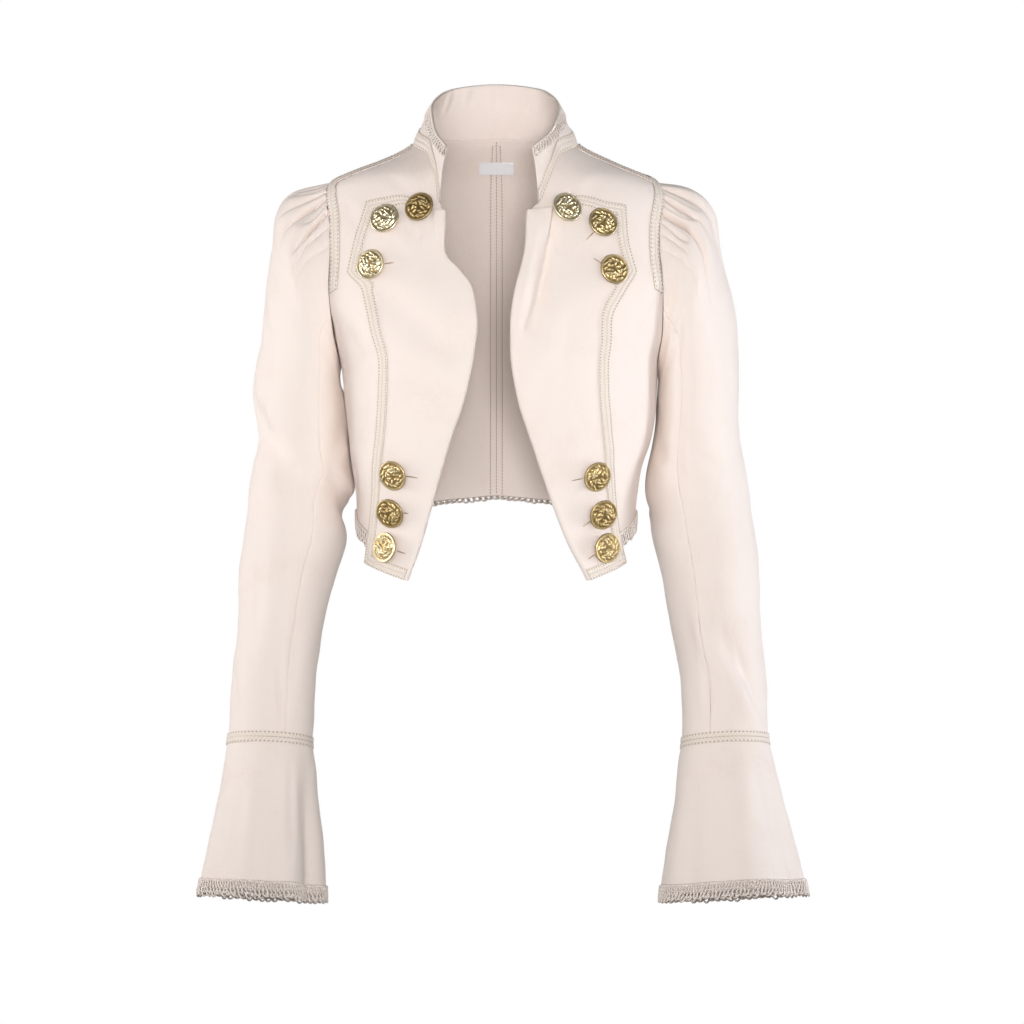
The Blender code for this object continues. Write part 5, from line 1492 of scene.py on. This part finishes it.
def button_relief(radius, angle):
    """Relief of a button's face by share of its radius: plain rim, fine inner ring, drawn wreath and sprig.

    Each leaf is a bell, longer than wide, at a seeded place and turn; of two that overlap, the higher shows.
    """
    draw = np.random.default_rng(RELIEF_SEED)
    uneven = draw.uniform(-WREATH_UNEVEN, WREATH_UNEVEN, WREATH)
    wreath = np.arange(WREATH) / WREATH * 2 * math.pi + uneven
    round_it = np.concatenate([wreath, draw.uniform(0, ALL_ROUND, SPRIG)])
    from_middle = np.concatenate([draw.uniform(*WREATH_RADIUS, WREATH),
                                  SPRIG_RADIUS * np.sqrt(draw.uniform(0.0, 1.0, SPRIG))])
    way = np.concatenate([wreath + draw.uniform(*WREATH_LEAN, WREATH), draw.uniform(0, ALL_ROUND, SPRIG)])
    way = way[:, None, None]
    long, wide = (draw.uniform(*span, (WREATH + SPRIG, 1, 1)) for span in (LEAF_LONG, LEAF_WIDE))
    x = radius * np.cos(angle) - (from_middle * np.cos(round_it))[:, None, None]
    y = radius * np.sin(angle) - (from_middle * np.sin(round_it))[:, None, None]
    along, aside = x * np.cos(way) + y * np.sin(way), y * np.cos(way) - x * np.sin(way)
    leaves = np.exp(-(along / long) ** 2 - (aside / wide) ** 2).max(axis=0)
    rim, ring = RIM_HEIGHT * half_round(radius, *RIM), RING_HEIGHT * half_round(radius, *RING)
    return rim + ring + LEAF_HEIGHT * leaves


def button(name, side, item, turned):
    """Shank button: a relief face on a dome, turned over a rounded rim to a flat back and a shank."""
    stand = button_stand(side, item)
    first = unit(np.cross(stand.axis, UP))
    second = np.cross(stand.axis, first)
    angle = np.linspace(0, 2 * math.pi, 112, endpoint=False)
    face = np.linspace(0, 0.985, 36)[:, None]
    relief = button_relief(face, angle[None] + turned)
    dome = SHANK_HEIGHT + DOME_EDGE + DOME_RISE * (1 - face ** 2) + relief
    back = np.repeat(np.array(BUTTON_BACK)[:, :, None], len(angle), axis=2)
    radius = np.concatenate([np.broadcast_to(face, dome.shape), back[:, 0]]) * BUTTON_FACE
    height = np.concatenate([dome, back[:, 1]])
    x, y = (radius * np.cos(angle))[..., None], (radius * np.sin(angle))[..., None]
    points = stand.base + first * x + second * y + stand.axis * height[..., None]
    number = np.arange(height.size).reshape(height.shape)
    quads = grid_quads(np.concatenate([number, number[:, :1]], axis=1)).reshape(-1, 4)
    hollow_shade_and_patina = HOLLOW_DARK - HOLLOW_DARK * np.clip(relief / RUBBED, 0, 1)
    painted_shade_and_patina = np.concatenate([hollow_shade_and_patina, np.full(back[:, 0].shape, BACK_DARK)]) + item.tarnish
    piece = add_piece("gilt_" + name, points.reshape(-1, 3), quads, GOLD, painted_shade_and_patina=painted_shade_and_patina)
    shape = bmesh.new()
    shape.from_mesh(piece.data)
    bmesh.ops.remove_doubles(shape, verts=shape.verts, dist=1e-6)
    bmesh.ops.recalc_face_normals(shape, faces=shape.faces)
    shape.to_mesh(piece.data)
    shape.free()
    return piece


def label():
    """Blank label across the centre back seam, just below the collar: a thin strip off the cloth's inside."""
    x, z = np.meshgrid(np.linspace(-LABEL_HALF_WIDTH, LABEL_HALF_WIDTH, 40),
                       np.linspace(LABEL_TOP, LABEL_BOTTOM, 14))
    angle = math.pi - angle_at("left", np.abs(x), z)
    points = on_form("left", angle, z)
    normals = form_normal("left", angle, z)
    points[..., 0] = x
    normals[..., 0] *= np.sign(x)
    return shell("label_tape", points - normals * (LAYER + LABEL_GAP), -normals, LABEL_TAPE, thickness=LABEL)


# The jacket

grids, sheets, trims = {}, {}, {}
collar_points, collar_normals = collar_grid()
for side in SIDES:
    for node, make in (("front", front_panel), ("lapel", lapel_cloth), ("back", back_panel)):
        sheets[f"{node}_{side}"] = dress(make(side), "ivory_cotton", f"{node}_{side}")
    for part in ("top", "under"):
        node = f"sleeve_{part}_{side}"
        sheets[node] = dress(sleeve_cloth(side, part), "ivory_cotton", node)
    piece, *grids[side] = cuff_cloth(side)
    sheets["cuff_" + side] = dress(piece, "ivory_cotton", "cuff_" + side)
collar = shell("collar_cloth", collar_points, collar_normals, COTTON)
sheets["collar"] = dress(collar, "ivory_cotton", "collar")

for side in SIDES:
    for place, make in (("lapel", lapel_braid), ("armhole", armhole_braid), ("shoulder", shoulder_braid)):
        trims[f"{place}_{side}"] = dress(make(side), "ivory_braid", f"{place}_braid_{side}")
    trims["wrist_" + side] = dress(wrist_braid(side, grids[side][1]), "ivory_braid", "wrist_braid_" + side)
    trims["cuff_" + side] = dress(cuff_crochet(side, *grids[side]), "ivory_crochet", "cuff_lace_" + side)
trims["neck"] = dress(neck_braid(collar_points, collar_normals), "ivory_braid", "neck_braid")
trims["collar"] = dress(collar_crochet(collar_points, collar_normals), "ivory_crochet", "collar_lace")
dress(hem_crochet(), "ivory_crochet", "hem_lace")
dress(label(), "white_tape", "label")
dress(felled_seam(), "ivory_cotton")

stitches = seam_rows()
for side in SIDES:
    strip, rows = shoulder_rows(side)
    dress(strip, "ivory_cotton")
    stitches += rows
points, quads = joined(stitches)
darkness = np.full(len(points), STITCH_DARK)
dress(add_piece("seam_stitching", points, quads, THREAD_YARN, painted_shade_and_patina=darkness), "ivory_braid")
dress(buttonholes(), "ivory_braid")
for side in SIDES:
    for number, item in enumerate(BUTTONS[side]):
        turned = BUTTON_TURN * (number + len(BUTTONS["right"]) * (side == "left"))
        name = f"button_{side}_{number + 1}"
        dress(button(name, side, item, turned), "antique_brass", name)

# The cut of each cloth piece: its widest and longest, and the share of that rectangle which is cloth
Cut = namedtuple("Cut", "name width length share held rests_on trims")
CUTS = []
for side in SIDES:
    CUTS += [
        Cut("front_" + side, 0.200, 0.405, 0.78, "hung", "back_" + side,
            ("armhole_" + side, "shoulder_" + side)),
        Cut("lapel_" + side, 0.130, 0.365, 0.80, "folded", "front_" + side, ("lapel_" + side,)),
        Cut("back_" + side, 0.215, 0.385, 0.87, "hung", "front_" + side, ()),
        Cut("sleeve_top_" + side, 0.265, 0.600, 0.73, "gathered", "front_" + side, ()),
        Cut("sleeve_under_" + side, 0.125, 0.435, 0.87, "hung", "sleeve_top_" + side, ()),
        Cut("cuff_" + side, 0.370, 0.155, 0.81, "hung", "sleeve_top_" + side,
            ("wrist_" + side, "cuff_" + side)),
    ]
CUTS.append(Cut("collar", 0.400, 0.062, 0.67, "hung", "back_right", ("neck", "collar")))

# Studio: a pale floor as far below the neck as a wearer stands, and a surround that is white behind the
# jacket and greyer in front of it and above
scene = bpy.context.scene
floor_mesh = bpy.data.meshes.new("studio_floor")
rim = np.linspace(0, 2 * math.pi, FLOOR_CORNERS, endpoint=False)
level = np.full(FLOOR_CORNERS, FLOOR)
corners = np.stack([FLOOR_RADIUS * np.cos(rim), FLOOR_RADIUS * np.sin(rim), level], axis=-1)
floor_mesh.from_pydata(corners.tolist(), [], [list(range(FLOOR_CORNERS))])
floor_mesh.materials.append(studio_paint())
floor = bpy.data.objects.new("studio_floor", floor_mesh)
scene.collection.objects.link(floor)

world = bpy.data.worlds.new("white_studio")
world.use_nodes = True
sky = world.node_tree
way = add_node(sky, "ShaderNodeTexCoord").outputs["Generated"]
parts = add_node(sky, "ShaderNodeSeparateXYZ", {"Vector": way})
white, front_grey, top_grey = ((tone, tone, tone, 1.0) for tone in (1.0, 0.40, 0.36))
stops = (0.92, front_grey), (0.97, white)
glow = add_node(sky, "ShaderNodeValToRGB", {"Fac": parts.outputs["Y"]}, stops)
stops = (0.22, white), (0.60, top_grey)
ceiling = add_node(sky, "ShaderNodeValToRGB", {"Fac": parts.outputs["Z"]}, stops)
shade = add_node(sky, "ShaderNodeVectorMath", {0: glow, 1: ceiling}, operation="MULTIPLY")
sky.links.new(shade.outputs[0], sky.nodes["Background"].inputs["Color"])
scene.world = world
scene.view_settings.view_transform = "Standard"

# Lamps: two in front, one to each side of them, a narrow one for the collar's inside, and one at each hand
Softbox = namedtuple("Softbox", "name x y z aim_z width height spread watts tint")
SOFTBOXES = [
    Softbox("softbox_key", -0.14, -2.0, -0.20, -0.24, 0.9, 0.7, 90, 2.65, "#FFFFFF"),
    Softbox("softbox_fill", 0.16, -2.7, -0.30, -0.27, 0.5, 0.5, 74, 3.9, "#FFFFFF"),
    Softbox("softbox_front_right_hand", -1.1, -1.6, -0.20, -0.20, 0.5, 0.7, 52, 0.27, "#FFFFFF"),
    Softbox("softbox_front_left_hand", 1.1, -1.6, -0.10, -0.28, 0.5, 0.8, 60, 0.40, "#FFFFFF"),
    Softbox("snoot_collar", 0.0, -2.4, 0.10, 0.045, 0.12, 0.12, 6, 0.010, "#FFF1E2"),
    Softbox("softbox_right_hand", -1.5, 0.20, -0.15, -0.30, 0.8, 1.0, 180, 12.5, "#FFFFFF"),
    Softbox("softbox_left_hand", 1.5, 0.06, -0.30, -0.36, 0.25, 1.0, 180, 11.5, "#EEF5FF"),
]
for box in SOFTBOXES:
    lamp = bpy.data.lights.new(box.name, "AREA")
    lamp.shape = "RECTANGLE"
    lamp.size, lamp.size_y, lamp.energy = box.width, box.height, box.watts
    lamp.spread = math.radians(box.spread)
    lamp.color = paint(box.tint)[:3]
    holder = bpy.data.objects.new(box.name, lamp)
    holder.location = (box.x, box.y, box.z)
    toward = np.array([-box.x, -box.y, box.aim_z - box.z])
    holder.rotation_euler = (math.atan2(math.hypot(toward[0], toward[1]), -toward[2]), 0.0,
                             math.atan2(toward[1], toward[0]) - math.pi / 2)
    scene.collection.objects.link(holder)

# Camera: level, 3.2 m in front, as the photograph was taken
lens = bpy.data.cameras.new("camera")
lens.sensor_width = 36.0
lens.lens = 112.5
camera = bpy.data.objects.new("camera", lens)
camera.location = (0.016, -3.2, -0.371)
camera.rotation_euler = (math.pi / 2, 0.0, 0.0)
scene.collection.objects.link(camera)
scene.camera = camera
